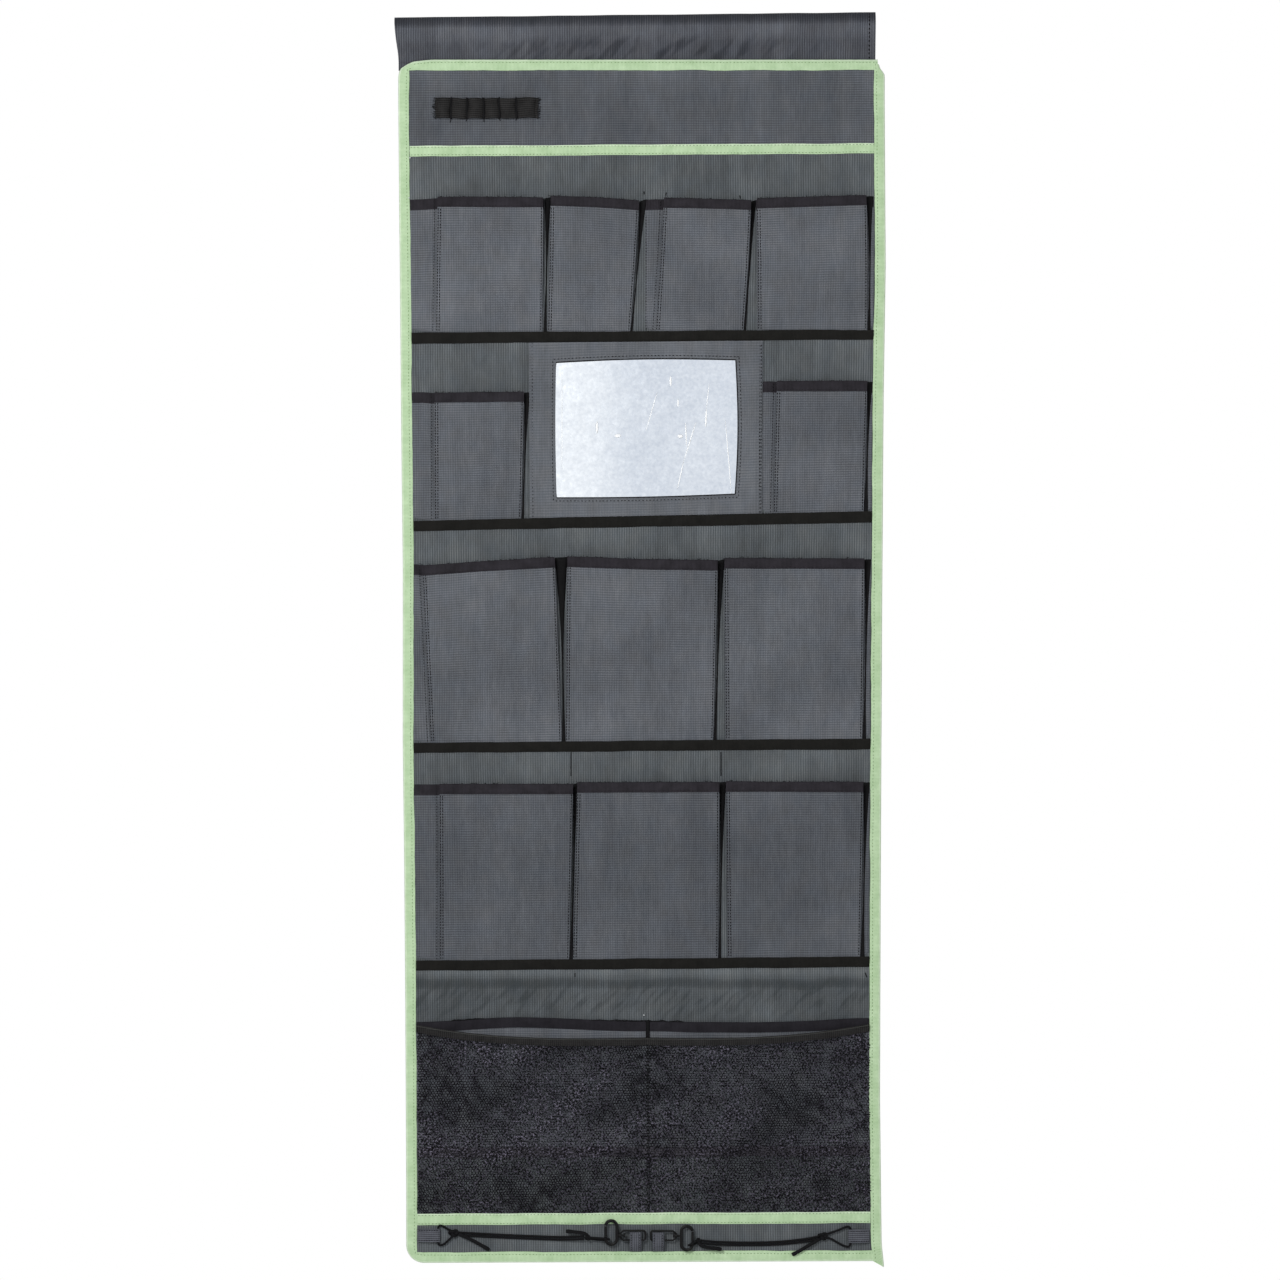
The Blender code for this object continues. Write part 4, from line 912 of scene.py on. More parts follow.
def panel():
    half, foot, top = OUTER_HALF - EDGE_INSET, BINDING_FOOT + EDGE_INSET, BINDING_TOP - EDGE_INSET
    radius = CORNER_RADIUS - EDGE_INSET
    seam = (HEADER_TAPE[0] + HEADER_TAPE[1]) / 2
    x, z = grid(-half, half, foot, seam - HALF_SEAM_GAP, 0.0042)
    x, z = rounded(x, z, (-half + radius, foot + radius), radius, False)
    depth = pucker(x, z, 20) - PANEL_CLOTH / 2
    back = spread("back_cloth", x, depth, z, PANEL_CLOTH, CLOTH, "grey_polyester", "back_panel")
    x, z = grid(-half, half, seam + HALF_SEAM_GAP, top, 0.0030)
    x, z = rounded(x, z, (-half + radius, top - radius), radius, True)
    near_top = 1 - ease(BINDING_TOP - z, 0.0035, 0.0185)
    x = np.where(x > INNER_HALF, INNER_HALF + (x - INNER_HALF) * (1 - 0.75 * near_top), x)
    depth = pucker(x, z, 40) - PANEL_CLOTH / 2
    head = spread("header_cloth", x, depth, z, PANEL_CLOTH, POCKET, "grey_polyester", "header_panel")
    return back, head


def tape_wave(x, seed):
    return 0.00035 * ripple(x, 0, 0.035, seed)


def flat_tape(name, node, slot, top, width, finish, low_depth, high_depth, seed):
    """A tape across the panel, a little domed and wavy, with its depth at its low and high edges."""
    x, t = np.meshgrid(across_panel(120), np.linspace(0, 1, 9))
    wave = tape_wave(x, seed) + 0.00015 * ripple(x, 0, 0.009, seed + 1)
    wide = width * (1 + 0.02 * ripple(x, 0, 0.05, seed + 2))
    z = top - width + wide * t + wave
    depth = low_depth + (high_depth - low_depth) * t + 0.0004 * np.sin(math.pi * t) ** 0.6
    return spread(name, x, depth, z, TAPE_THICK, finish, slot, node, pair(x, z - top))


def green_stitches(name, lines, seed):
    return sew(name, lines, 0.0034, 0.0021, 0.00075, seed, "green_binding", thread=THREAD_GREEN)


def tapes():
    made = []
    x = across_panel(60)
    for name, (top, foot), seed in (("header_tape", HEADER_TAPE, 60), ("net_tape", NET_TAPE, 70)):
        width = top - foot
        piece = flat_tape(name + "_woven", name, "green_binding", top, width, GREEN, 0.0006, 0.0008, seed)
        lines = [laid(x, 0.00155, top - inset + tape_wave(x, seed))
                 for inset in (TAPE_SEAM, width - TAPE_SEAM)]
        made.append((piece, green_stitches(name + "_stitches", lines, seed)))
    for row, foot in enumerate(ROW_FEET, 1):
        finish, high = (TAPE, 0.0024) if row < 5 else (HIDDEN_TAPE, 0.0013)
        flat_tape(f"row{row}_woven_tape", f"row{row}_tape", "black_tape", foot, ROW_TAPE_WIDTH, finish,
                  0.0007, high, 80 + 10 * row)
    insets = (ROW_TAPE_SEAM, ROW_TAPE_WIDTH - ROW_TAPE_SEAM)
    lines = [laid(x, -0.0010, foot - inset) for foot in ROW_FEET for inset in insets]
    sew("seams_behind", lines, 0.0034, 0.0024, 0.0010, 90, "black_tape")
    return made


# The folded tape's middle surface, from behind round the edge to the front: (inset, depth)
FOLD_PROFILE = np.array((
    (0.0107, -0.0014), (0.0070, -0.00145), (0.0030, -0.0014), (0.0012, -0.0012), (0.00045, -0.0008),
    (0.0003, -0.0003), (0.0006, 0.0003), (0.0014, 0.0007), (0.0030, 0.00095), (0.0055, 0.00105),
    (0.0080, 0.00095), (0.0098, 0.0007), (0.0107, 0.0005),
))
# The profile's points that the stitches run over, behind, along the top and along the sides
SEWN_BEHIND, SEWN_TOP, SEWN_SIDE = 1, 8, 10
STITCH_LIFT = 0.0003


def folded_tape(name, node, route, seed, tail_length=0.0, push=0.0):
    """A tape folded over the cloth's edge along a route that keeps the cloth on its right."""
    route = np.asarray(route, float)
    run = unit(np.gradient(route, axis=0))
    inward = pair(run[:, 1], -run[:, 0])
    length = lengths_along(route)
    profile_inset, profile_depth = FOLD_PROFILE.T
    wander = 0.0004 * ripple(length, 0, 0.03, seed) + 0.0002 * ripple(length, 0, 0.008, seed + 1)
    facing = np.abs(inward).max(axis=1)
    narrowed = (CORNER_RADIUS - (CORNER_RADIUS - BINDING_WIDTH) / facing) / BINDING_WIDTH
    inset = profile_inset * narrowed[:, None]
    inset = inset + wander[:, None] * (profile_inset / BINDING_WIDTH)
    puff = 1 + 0.25 * ripple(length, 0, 0.025, seed + 2)
    depth = profile_depth * np.where(profile_depth > 0, puff[:, None], 1.0)
    x = route[:, 0, None] + inward[:, 0, None] * inset
    z = route[:, 1, None] + inward[:, 1, None] * inset
    if tail_length:
        near_end = ease(length, length[-1] - 0.02, length[-1])[:, None]
        z = z - tail_length * near_end * (1 - inset / BINDING_WIDTH)
        x = x + 0.0022 * near_end
        near_start = 1 - ease(length, 0, 0.013)[:, None]
        x = INNER_HALF + (x - INNER_HALF) * (1 - 0.55 * near_start)
        z = z - 0.0035 * near_start * (x - INNER_HALF) / BINDING_WIDTH
        depth = np.where(depth > 0, depth * (1 + 0.9 * near_start) + push, depth)
    uv = pair(length[:, None], lengths_along(FOLD_PROFILE))
    obj = spread(name, x, depth, z, TAPE_THICK, GREEN, "green_binding", node, uv)
    upper = (np.abs(inward[:, 1]) > 0.9) & (route[:, 1] > BINDING_TOP - 0.001)
    lines = [laid(x[rows, column], depth[rows, column] + lift, z[rows, column])
             for rows, column, lift in ((upper, SEWN_TOP, STITCH_LIFT), (~upper, SEWN_SIDE, STITCH_LIFT),
                                        (slice(None), SEWN_BEHIND, -STITCH_LIFT))]
    return obj, [line for line in lines if len(line) > 1]


BINDING_STEP = 0.005
SIDE_STEP = 0.004


def bend_points(centre, start, end):
    turns = np.radians(np.linspace(start, end, 15))
    return [(centre[0] + CORNER_RADIUS * math.cos(t), centre[1] + CORNER_RADIUS * math.sin(t)) for t in turns]


def bindings():
    centre_x = -OUTER_HALF + CORNER_RADIUS
    low, high = BINDING_FOOT + CORNER_RADIUS, BINDING_TOP - CORNER_RADIUS
    route = [(x, BINDING_FOOT) for x in np.arange(INNER_HALF + 0.004, centre_x, -BINDING_STEP)]
    route += bend_points((centre_x, low), 270, 180)
    route += [(-OUTER_HALF, z) for z in np.arange(low + BINDING_STEP, high, BINDING_STEP)]
    route += bend_points((centre_x, high), 180, 90)
    route += [(x, BINDING_TOP) for x in np.arange(centre_x + BINDING_STEP, INNER_HALF + 0.008, BINDING_STEP)]
    edge, edge_lines = folded_tape("edge_tape", "edge_binding", route, 140)
    heights = np.arange(BINDING_TOP - 0.0035, BINDING_FOOT, -SIDE_STEP)
    route = [(OUTER_HALF, z) for z in (*heights, BINDING_FOOT)]
    side, side_lines = folded_tape("side_tape", "right_binding", route, 150, 0.0060, 0.0004)
    return [(edge, green_stitches("edge_stitches", edge_lines, 141)),
            (side, green_stitches("side_stitches", side_lines, 151))]


SLEEVE_LEFT = -0.2485
SLEEVE_RIGHT = 0.2325
SLEEVE_RADIUS = 0.0107
SLEEVE_TAIL_FOOT = -0.0447


def sleeve():
    """The flat-hanging tube of cloth for a pole, with slanting creases and a hem at its right end."""
    neck = BINDING_TOP + 0.0003
    leg = 0.00045
    lean = math.asin((SLEEVE_RADIUS - leg) / -neck)
    heights = (SLEEVE_TAIL_FOOT, (SLEEVE_TAIL_FOOT + neck) / 2, neck)
    turns = np.linspace(-lean, math.pi + lean, 34)
    loop = [(leg, height) for height in heights]
    loop += [(SLEEVE_RADIUS * math.cos(t), SLEEVE_RADIUS * math.sin(t)) for t in turns]
    loop += [(-leg, height) for height in heights[::-1]]
    loop = smooth_path(loop, 0.0016)
    along = np.linspace(0, 1, 150)
    share, row = np.meshgrid(along, np.arange(len(loop)))
    y, z = loop[row, 0], loop[row, 1]
    run = lengths_along(loop)[row]
    left = SLEEVE_LEFT + 0.0040 * ease(0.011 - z, 0, 0.05)
    x = left + (SLEEVE_RIGHT - left) * share
    out = unit(pair(y, z))
    free = ease(z, -0.031, -0.012)
    upright = 1 - 0.8 * ease(z, 0.002, 0.0095)
    lower = ease(x, -0.17, -0.08) * (1 - ease(x, 0.10, 0.19)) * (1 - ease(z, -0.014, -0.002))
    slant = 0.0009 * ripple(x + run * 0.9, run, 0.030, 160)
    slant = slant + 0.0005 * ripple(x - run * 0.7, run * 2, 0.016, 161)
    crease = ripple((x - z) * 0.7, (x + z) * 0.2, 0.0120, 162)
    push = free * upright * (slant + 0.0026 * (0.15 + lower) * crease)
    tilt = free * (-0.0022 + 0.0052 * share)
    y = y + out[..., 0] * push
    z = z + out[..., 1] * push + tilt + (1 - free) * 0.0003 * ripple(x, 0, 0.03, 163)
    points = np.stack([x, y, z], -1)
    obj = skin("pole_sleeve", points[:, ::-1], pair(x, run)[:, ::-1], 0.0006, SLEEVE)
    seat(obj, "sleeve_polyester", "root", "hanging_sleeve")
    front = np.arange(len(loop) // 2, len(loop) - 3)
    line = points[front, len(along) - 3] + (0.0, -0.0009, 0.0)
    return obj, sew("sleeve_hem_stitches", [line], 0.0042, 0.0030, 0.0014, 5, "sleeve_polyester")


ELASTIC_TOP = -0.0717
ELASTIC_WIDTH = 0.0200
ELASTIC_STOPS = (437, 451, 467, 483.5, 499, 516.5, 536.5)
ELASTIC_RISES = (0.0046, 0.0034, 0.0052, 0.0040, 0.0036, 0.0050)
ELASTIC_DEPTH = 0.0009
ELASTIC_END = 0.0015
ELASTIC_TACK = 0.0008
ELASTIC_RIB = 0.0022


def elastic():
    """Ribbed elastic stitched down in six uneven loops, its cut ends frayed."""
    stops = [float(nominal(pixel, ELASTIC_TOP - ELASTIC_WIDTH / 2)) for pixel in ELASTIC_STOPS]
    path = [(stops[0] - ELASTIC_END, ELASTIC_DEPTH)]
    for start, end, rise in zip(stops, stops[1:], ELASTIC_RISES):
        span = end - start - 2 * ELASTIC_TACK
        for share in np.linspace(0, 1, 17):
            lift = rise * math.sin(math.pi * share) ** 0.55
            path.append((start + ELASTIC_TACK + span * share, ELASTIC_DEPTH + lift))
    path = np.array([*path, (stops[-1] + ELASTIC_END, ELASTIC_DEPTH)])
    length = lengths_along(path)
    run, lift = path.T
    rows = np.linspace(-ELASTIC_WIDTH, 0, 15)[:, None]
    z = ELASTIC_TOP + rows + 0.0006 * ripple(run, 0, 0.011, 170)
    x = run + 0.0007 * np.sin(rows * 190 + length * 60)
    depth = lift + 0.0002 * np.sin(rows * 2 * math.pi / ELASTIC_RIB)
    band = spread("utensil_loops", x, depth, z, 0.0010, ELASTIC, "black_elastic", "utensil_elastic",
                  pair(rows, length))
    chance = np.random.default_rng(171)
    strands = []

    def strand(name, places, radius):
        strands.append(tube(name, [laid(*place) for place in places], radius, THREAD_BLACK, sides=5))

    for edge, heading in ((path[0, 0], -1), (path[-1, 0], 1)):
        for height in np.linspace(-ELASTIC_WIDTH, 0, 18):
            run, drop = chance.uniform(0.0006, 0.0034), chance.uniform(-0.0012, 0.0012)
            strand("fray", [(edge + heading * run * t, 0.0012 + 0.0004 * t, ELASTIC_TOP + height + drop * t)
                            for t in (-0.3, 0.4, 1.0)], 0.00034)
    for stop in stops[1:-1]:
        strand("tack", [(stop + 0.0004 * math.sin(700 * rise), 0.0018, ELASTIC_TOP + rise)
                        for rise in np.linspace(0.0003, -ELASTIC_WIDTH - 0.0004, 7)], 0.0014)
        for top, low in ((ELASTIC_TOP - ELASTIC_WIDTH, -0.0042), (ELASTIC_TOP, 0.0016)):
            lean, drop = chance.uniform(-0.0015, 0.0015), low * chance.uniform(0.4, 1.0)
            strand("end", [(stop, 0.0014, top), (stop + lean, 0.0012, top + drop)], 0.00035)
    return band, bundle("elastic_threads", strands, "black_elastic")


# Pockets with folded gussets

# Row, number: the pixels of the front's left and right creases at its mouth and at its foot, and
# of the seams that its gussets start from, None where that is right behind the crease
POCKETS = {
    (1, 1): ((438, 543), (436, 542), (409.5, None)),
    (1, 2): ((551, 639), (548, 630), (None, None)),
    (1, 3): ((664, 751), (656, 743.5), (645.5, None)),
    (1, 4): ((756.5, 866), (758, 867), (None, 874)),
    (2, 1): ((435, 524), (435, 521), (410.5, None)),
    (2, 2): ((777, 867), (773.5, 863.5), (762.5, 872)),
    (3, 1): ((422.5, 554.5), (431, 561.5), (412, None)),
    (3, 2): ((567.5, 717.5), (566, 713), (None, None)),
    (3, 3): ((724.5, 864), (726, 862), (None, 870)),
    (4, 1): ((440, 573), (440, 569), (413.5, None)),
    (4, 2): ((577.5, 719), (573, 718), (None, None)),
    (4, 3): ((726, 863), (728, 860), (None, 869)),
}
POCKET_CLOTH = 0.0005
TUCK = 0.0018
GUSSET_FOLD = 0.0085
GUSSET_TUCK = 0.0070


def nominal(pixel, z):
    """The straight place of a pixel column at that height."""
    x = photo_x(pixel)
    return x - lay(x, z)[0]


# Each row's mouths aren't quite level: the pixel columns, and how many millimetres they lie higher
MOUTHS = (
    ((409, -1.5), (435, -0.5), (438, 0.0), (543, -1.5), (551, 0.0), (595, -2.0), (639, -5.5), (646, -3.0),
     (664, -3.0), (751, -6.0), (757, -4.5), (866, -2.0)),
    ((410, 0.0), (433, 0.0), (436, -2.0), (524, -3.0), (760, 3.0), (775, 3.0), (778, 2.0), (867, 0.0)),
    ((412, 0.0), (421, 0.0), (424, -2.0), (480, 1.5), (555, 5.0), (567, 5.5), (640, 2.0), (717, 0.0),
     (725, 2.0), (864, 0.0)),
    ((413, -1.0), (573, -1.5), (578, 0.0), (719, 0.0), (726, 0.5), (864, -0.5)),
)


def mouth_shift(row, x, z):
    """How far up a pocket's cloth is pulled there, most at the mouth and nothing at the foot."""
    top, foot = ROW_TOPS[row - 1], ROW_FEET[row - 1]
    pixels, shifts = zip(*MOUTHS[row - 1])
    places = [nominal(pixel, top) for pixel in pixels]
    return share_of(z, foot, top) * np.interp(x, places, shifts) / 1000


class Front:
    """One pocket's front: where it is, and how deep it bellies."""

    def __init__(self, row, number):
        self.row = row
        self.top, self.foot = ROW_TOPS[row - 1], ROW_FEET[row - 1]
        mouth, base, seams = POCKETS[row, number]
        self.sides = [(nominal(base[side], self.foot), nominal(mouth[side], self.top)) for side in (0, 1)]
        self.width = self.sides[1][1] - self.sides[0][1]
        middle = (self.top + self.foot) / 2
        self.seams = [None if pixel is None else nominal(pixel, middle) for pixel in seams]
        self.seed = 200 + 40 * row + 7 * number

    def creases(self, up):
        return (low + (high - low) * up for low, high in self.sides)

    def x(self, u, z):
        left, right = self.creases((z - self.foot) / (self.top - self.foot))
        return left + (right - left) * u

    def depth(self, x, z):
        """The front's outer face: pulled in at the foot, open at the mouth, soft at the creases."""
        up = share_of(z, self.foot, self.top)
        left, right = self.creases(up)
        edge = np.clip(np.minimum(x - left, right - x), 0, None)
        base = FOOT_DEPTH + (MOUTH_DEPTH - FOOT_DEPTH) * up - 0.0011 * up * np.exp(-edge / 0.0016)
        inside = ease(edge, 0, 0.020)
        waves = 0.0010 * ripple(x, z * 0.5, 0.032, self.seed) + 0.0005 * ripple(x, z, 0.017, self.seed + 1)
        gathers = 0.0005 * ripple(x, z * 0.1, 0.0075, self.seed + 2) * np.exp(-(z - self.foot) / 0.014)
        crown = 0.0016 * inside * np.sin(math.pi * up * 0.75)
        mouth = 0.0008 * ripple(x, 0, 0.045, self.seed + 3) * ease(up, 0.6, 1.0) * inside
        loose = base + (waves * (0.35 + 0.65 * up) + gathers) * inside + crown + mouth
        sewn = 1 - ease(z, self.foot - 0.0008, self.foot + 0.0030)
        return loose * (1 - sewn) + 0.0012 * sewn

    def laid(self, x, depth, z):
        return laid(x, depth, z + mouth_shift(self.row, x, z))

    def line(self, inset, low, high, lift):
        """World points up the front, that far inside its left crease, or its right if negative."""
        z = np.linspace(low, high, 40)
        x = self.x(0.0 if inset > 0 else 1.0, z) + inset
        return self.laid(x, self.depth(x, z) + lift, z)


def pocket(row, number):
    front = Front(row, number)
    body = f"row{row}_pocket_{number}"
    width, height = front.width, front.top - front.foot
    edge = np.array([0.0, 0.0006, 0.0014, 0.0026, 0.0042])
    middle = np.linspace(0.0066, width - 0.0066, round(width / 0.0033))
    columns = np.concatenate([edge, middle, width - edge[::-1]]) / width
    u, z = np.meshgrid(columns, np.linspace(front.foot - TUCK, front.top - 0.0008, round(height / 0.0036)))
    x = front.x(u, z)
    points = front.laid(x, front.depth(x, z) - POCKET_CLOTH / 2, z)
    cloth = skin(f"row{row}_front_{number}", points, pair(x, z), POCKET_CLOTH, POCKET)
    seat(cloth, "grey_polyester", None, body)
    feet = [float(laid(front.x(side, front.foot), 0, front.foot)[2]) for side in (0.0, 1.0)]
    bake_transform(cloth)
    edging = hem(front, f"row{row}_mouth_{number}", columns, body, f"row{row}_hem_{number}")
    low, high = front.foot + 0.001, front.top - HEM_WIDTH
    lines = [front.line(inset, low, high, 0.0001) for inset in (0.0007, 0.0030, -0.0014)]
    sewn = sew(f"row{row}_edge_stitches_{number}", lines, 0.0030, 0.0028, 0.0012, front.seed, body=None)
    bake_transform(sewn)
    ends = fray(front, f"row{row}_frayed_{number}", body)
    for side, word in enumerate(("left", "right")):
        gusset(front, f"row{row}_gusset_{number}_{word}", side)


# The hem tape's fold over a mouth, from outside over the top and in: (drop, lift off the front)
HEM_FOLD = np.array((
    (HEM_WIDTH, 0.00055), (HEM_WIDTH * 0.97, 0.0007), (HEM_WIDTH * 0.6, 0.0008), (HEM_WIDTH * 0.3, 0.0008),
    (0.0008, 0.0007), (0.0001, 0.0004), (-0.0002, 0.0), (-0.0002, -0.0005), (0.0002, -0.0009),
    (0.0012, -0.0012), (HEM_WIDTH * 0.5, -0.0011), (HEM_WIDTH, -0.0010),
))
HEM_SEAM = 0.0013


def hem(front, name, columns, body, node):
    """A tape folded over the pocket's mouth, outside and in, with a row of stitches."""
    u, step = np.meshgrid(columns, np.arange(len(HEM_FOLD)))
    drop, lift = HEM_FOLD[step, 0], HEM_FOLD[step, 1]
    x = front.x(u, front.top - drop)
    wave = 0.0003 * ripple(x, 0, 0.02, front.seed + 5)
    z = front.top - drop * (1 + wave / HEM_WIDTH) + 0.5 * wave
    depth = front.depth(x, np.minimum(z, front.top)) + lift
    uv = pair(x, np.where(lift > 0, -drop, drop))
    piece = seat(skin(name, front.laid(x, depth, z), uv, 0.0005, HEM), "hem_tape", body, node)
    z = front.top - HEM_WIDTH + HEM_SEAM
    x = front.x(columns, z)
    line = front.laid(x, front.depth(x, z) + 0.0011, z)
    stitches(name + "_stitches", [line], 0.0030, 0.0022, 0.00035, THREAD_BLACK, front.seed + 6).parent = piece
    return piece


def gusset(front, name, side):
    """A pleat from its seam on the panel, in behind the front, and back out to the front's crease."""
    inward = 1 if side == 0 else -1
    height = front.top - front.foot
    rows = np.linspace(front.foot - GUSSET_TUCK, front.top - 0.0004, round(height / 0.005))
    crease = front.x(float(side), rows)
    if front.seams[side] is None:
        seam = crease - inward * 0.0009
    else:
        seam = np.where(rows < front.foot, crease, front.seams[side])
    out = front.depth(crease, rows) - 0.0006
    low = np.minimum(out * 0.2, 0.00045)
    halfway = low + 0.0002 * ripple(rows, rows, 0.02, front.seed + 9)
    fold = crease + inward * GUSSET_FOLD
    stops = [(seam, low), (seam + (crease - seam) * 0.5, halfway), (crease, low),
             (fold - inward * 0.002, low * 1.2), (fold, low * 1.6), (fold - inward * 0.0015, low * 2.1),
             (crease + inward * 0.0045, low + (out - low) * 0.45),
             (crease + inward * 0.0015, low + (out - low) * 0.85), (crease + inward * 0.0003, out)]
    x, depth = (np.stack(places, axis=1) for places in zip(*stops))
    z = np.repeat(rows[:, None], len(stops), axis=1)
    across = np.concatenate([[0], np.cumsum(np.abs(np.diff(x.mean(axis=0))) + 0.001)])
    facing = slice(None, None, inward)
    piece = skin(name, front.laid(x, depth, z)[:, facing], pair(across, z)[:, facing], 0.0003, POCKET)
    piece.data.materials.append(HEM)
    spots = np.empty(2 * len(piece.data.loops))
    piece.data.uv_layers[0].data.foreach_get("uv", spots)
    heights = spots[1::2]
    hem_foot = front.top - HEM_WIDTH
    slots = [int(heights[list(face.loop_indices)].mean() > hem_foot) for face in piece.data.polygons]
    piece.data.polygons.foreach_set("material_index", slots)
    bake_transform(piece)


def fray(front, name, body):
    """Loose ends of thread along the hem's top."""
    chance = np.random.default_rng(front.seed + 20)
    strands = []
    for spot in chance.uniform(0.0, 1.0, round(front.width / 0.0035)) ** 1.3:
        x = front.x(spot, front.top)
        depth = float(front.depth(x, front.top)) - chance.uniform(0.0004, 0.0012)
        rise, lean = chance.uniform(0.0004, 0.0018), chance.uniform(-0.0035, 0.0035)
        bend = chance.uniform(0.2, 0.9)
        path = [front.laid(x + lean * t, depth, front.top - 0.0006 + (rise + 0.0006) * t**bend)
                for t in (0.0, 0.5, 1.0)]
        strands.append(tube("strand", path, 0.00022, THREAD_BLACK, sides=4))
    return bundle(name, strands, body=body)


# Row, then the pixels of the dark gap's left and right edges at the mouths and at the feet
GAPS = (
    (1, (544.5, 551), (543.5, 546.5)), (1, (640, 646.5), (630.5, 632.5)), (1, (751.5, 756), (743.5, 746)),
    (1, (866.5, 873), (867.5, 870.5)), (2, (524.5, 530), (521.5, 524)), (2, (867, 872.5), (863.5, 868)),
    (3, (555, 567.5), (562, 565.5)), (3, (718, 724.5), (713.5, 716.5)), (3, (864.5, 871), (862.5, 866)),
    (4, (573.5, 578), (569.5, 573)), (4, (719.5, 726), (718.5, 721)), (4, (863.5, 869.5), (860.5, 864.5)),
)
FLAT_GUSSETS = ((1, 1), (1, 3), (2, 1), (2, 2), (3, 1), (4, 1))
GAP_DEPTH = 0.0011


def gaps():
    """Dark strips of painted shade in the narrow gaps between pockets, and the seams beside flat gussets."""
    pieces = []
    columns = np.linspace(0, 1, 6)
    for row, mouth, base in GAPS:
        top, foot = ROW_TOPS[row - 1], ROW_FEET[row - 1]
        z = np.linspace(foot - 0.004, top - 0.0003, 60)[:, None]
        up = share_of(z, foot, top)
        lows, highs = [nominal(pixel, foot) for pixel in base], [nominal(pixel, top) for pixel in mouth]
        middle = (nominal(sum(base) / 2, foot) + nominal(sum(mouth) / 2, top)) / 2
        left, right = (low + (high - low) * up - ((low + high) / 2 - middle) * 0.8 * np.sin(math.pi * up)
                       for low, high in zip(lows, highs))
        x = left + (right - left) * columns
        depth = 0.0007 + (GAP_DEPTH - 0.0007) * np.sin(math.pi * columns)
        points = laid(x, depth, z + mouth_shift(row, x, z))
        pieces.append(skin("painted_shade_strip", points, pair(z, x), 0.0004, GAP_DARK))
    bundle("gaps_in_shade", pieces)
    lines = []
    for row, number in FLAT_GUSSETS:
        front = Front(row, number)
        z = np.linspace(front.foot + 0.0005, front.top - 0.0005, 60)
        lines.append(front.laid(front.x(0.0, z) - 0.0033, 0.0009, z))
    z = np.linspace(ROW_FEET[0] + 0.0005, ROW_TOPS[0] - 0.0200, 60)
    lines.append(laid(nominal(646, z), 0.0009, z))
    sew("gusset_stitches", lines, 0.0031, 0.0022, 0.0008, 320)


# The mirror and its cloth frame

# Scratches in the foil: the pixels they run from and to, and their width in pixels
SCRATCHES = (
    ((670.6, 376.5), (670.6, 386.5), 1.5), ((678, 399), (678, 407), 1.3), ((706.4, 409), (705.6, 427), 1.3),
    ((709, 384), (706.5, 408), 0.6), ((597, 421.5), (597, 433.5), 1.7), ((614.5, 436), (621, 435.5), 2.4),
    ((677.5, 436), (683, 436.5), 2.6), ((685.5, 423), (686.5, 446), 1.0), ((657.3, 391.7), (646, 430.7), 0.6),
    ((696, 422), (683.7, 461), 0.8), ((683.7, 461), (677.4, 488.6), 0.8), ((725.3, 420.6), (731.6, 496), 0.7),
    ((562, 374), (562, 470), 0.5),
)


MIRROR_X = (-0.1124, 0.1192)
MIRROR_Z = (ROW_FEET[1] + 0.0003, ROW_FEET[0] - ROW_TAPE_WIDTH - 0.0003)
WINDOW_MIDDLE, WINDOW_HALF = (0.0034, -0.40255), (0.08915, 0.06755)
WINDOW_X, WINDOW_Z = ((middle - half, middle + half) for middle, half in zip(WINDOW_MIDDLE, WINDOW_HALF))
WINDOW_SEAM = 0.0032
PLATE_UNDER = 0.0055
BOW_UP, BOW_DOWN, BOW_RIGHT, BOW_LEFT = 0.0022, 0.0012, 0.0026, 0.0008


def window_lines(outer, window, beyond, within):
    """Places across the cloth, close together beside the window's two edges."""
    rim = np.array([0, 0.0005, 0.0012, 0.0024, 0.0045])
    return np.unique(np.concatenate([
        np.linspace(outer[0], window[0] - 0.0060, beyond), window[0] - rim, np.linspace(*window, within),
        window[1] + rim, np.linspace(window[1] + 0.0060, outer[1], beyond)]).round(6))


def bowed(x, z):
    """Where the straight cloth's points lie once the window's edges bow outwards."""
    (left, right), (foot, top) = WINDOW_X, WINDOW_Z
    middle_x, middle_z = (left + right) / 2, (foot + top) / 2
    over = np.sin(math.pi * share_of(x, left, right))
    beside = np.sin(math.pi * share_of(z, foot, top))
    upwards = BOW_UP * ease(z, middle_z, top) * (1 - ease(z, top + 0.006, MIRROR_Z[1]))
    downwards = BOW_DOWN * (1 - ease(z, foot, middle_z)) * ease(z, MIRROR_Z[0], foot - 0.006)
    rightwards = BOW_RIGHT * ease(x, middle_x, right) * (1 - ease(x, right + 0.006, MIRROR_X[1] - 0.004))
    leftwards = BOW_LEFT * (1 - ease(x, left, middle_x)) * ease(x, MIRROR_X[0] + 0.004, left - 0.006)
    return x + (rightwards - leftwards) * beside, z + (upwards - downwards) * over


def bowed_line(start, end, depth):
    t = np.linspace(0, 1, 40)
    x, z = bowed(start[0] + (end[0] - start[0]) * t, start[1] + (end[1] - start[1]) * t)
    return laid(x, depth, z)


def window_corners(outset):
    """The corners that far outside the window, from the low left one round by the top."""
    (left, right), (foot, top) = WINDOW_X, WINDOW_Z
    left, right, foot, top = left - outset, right + outset, foot - outset, top + outset
    return [(left, foot), (left, top), (right, top), (right, foot)]


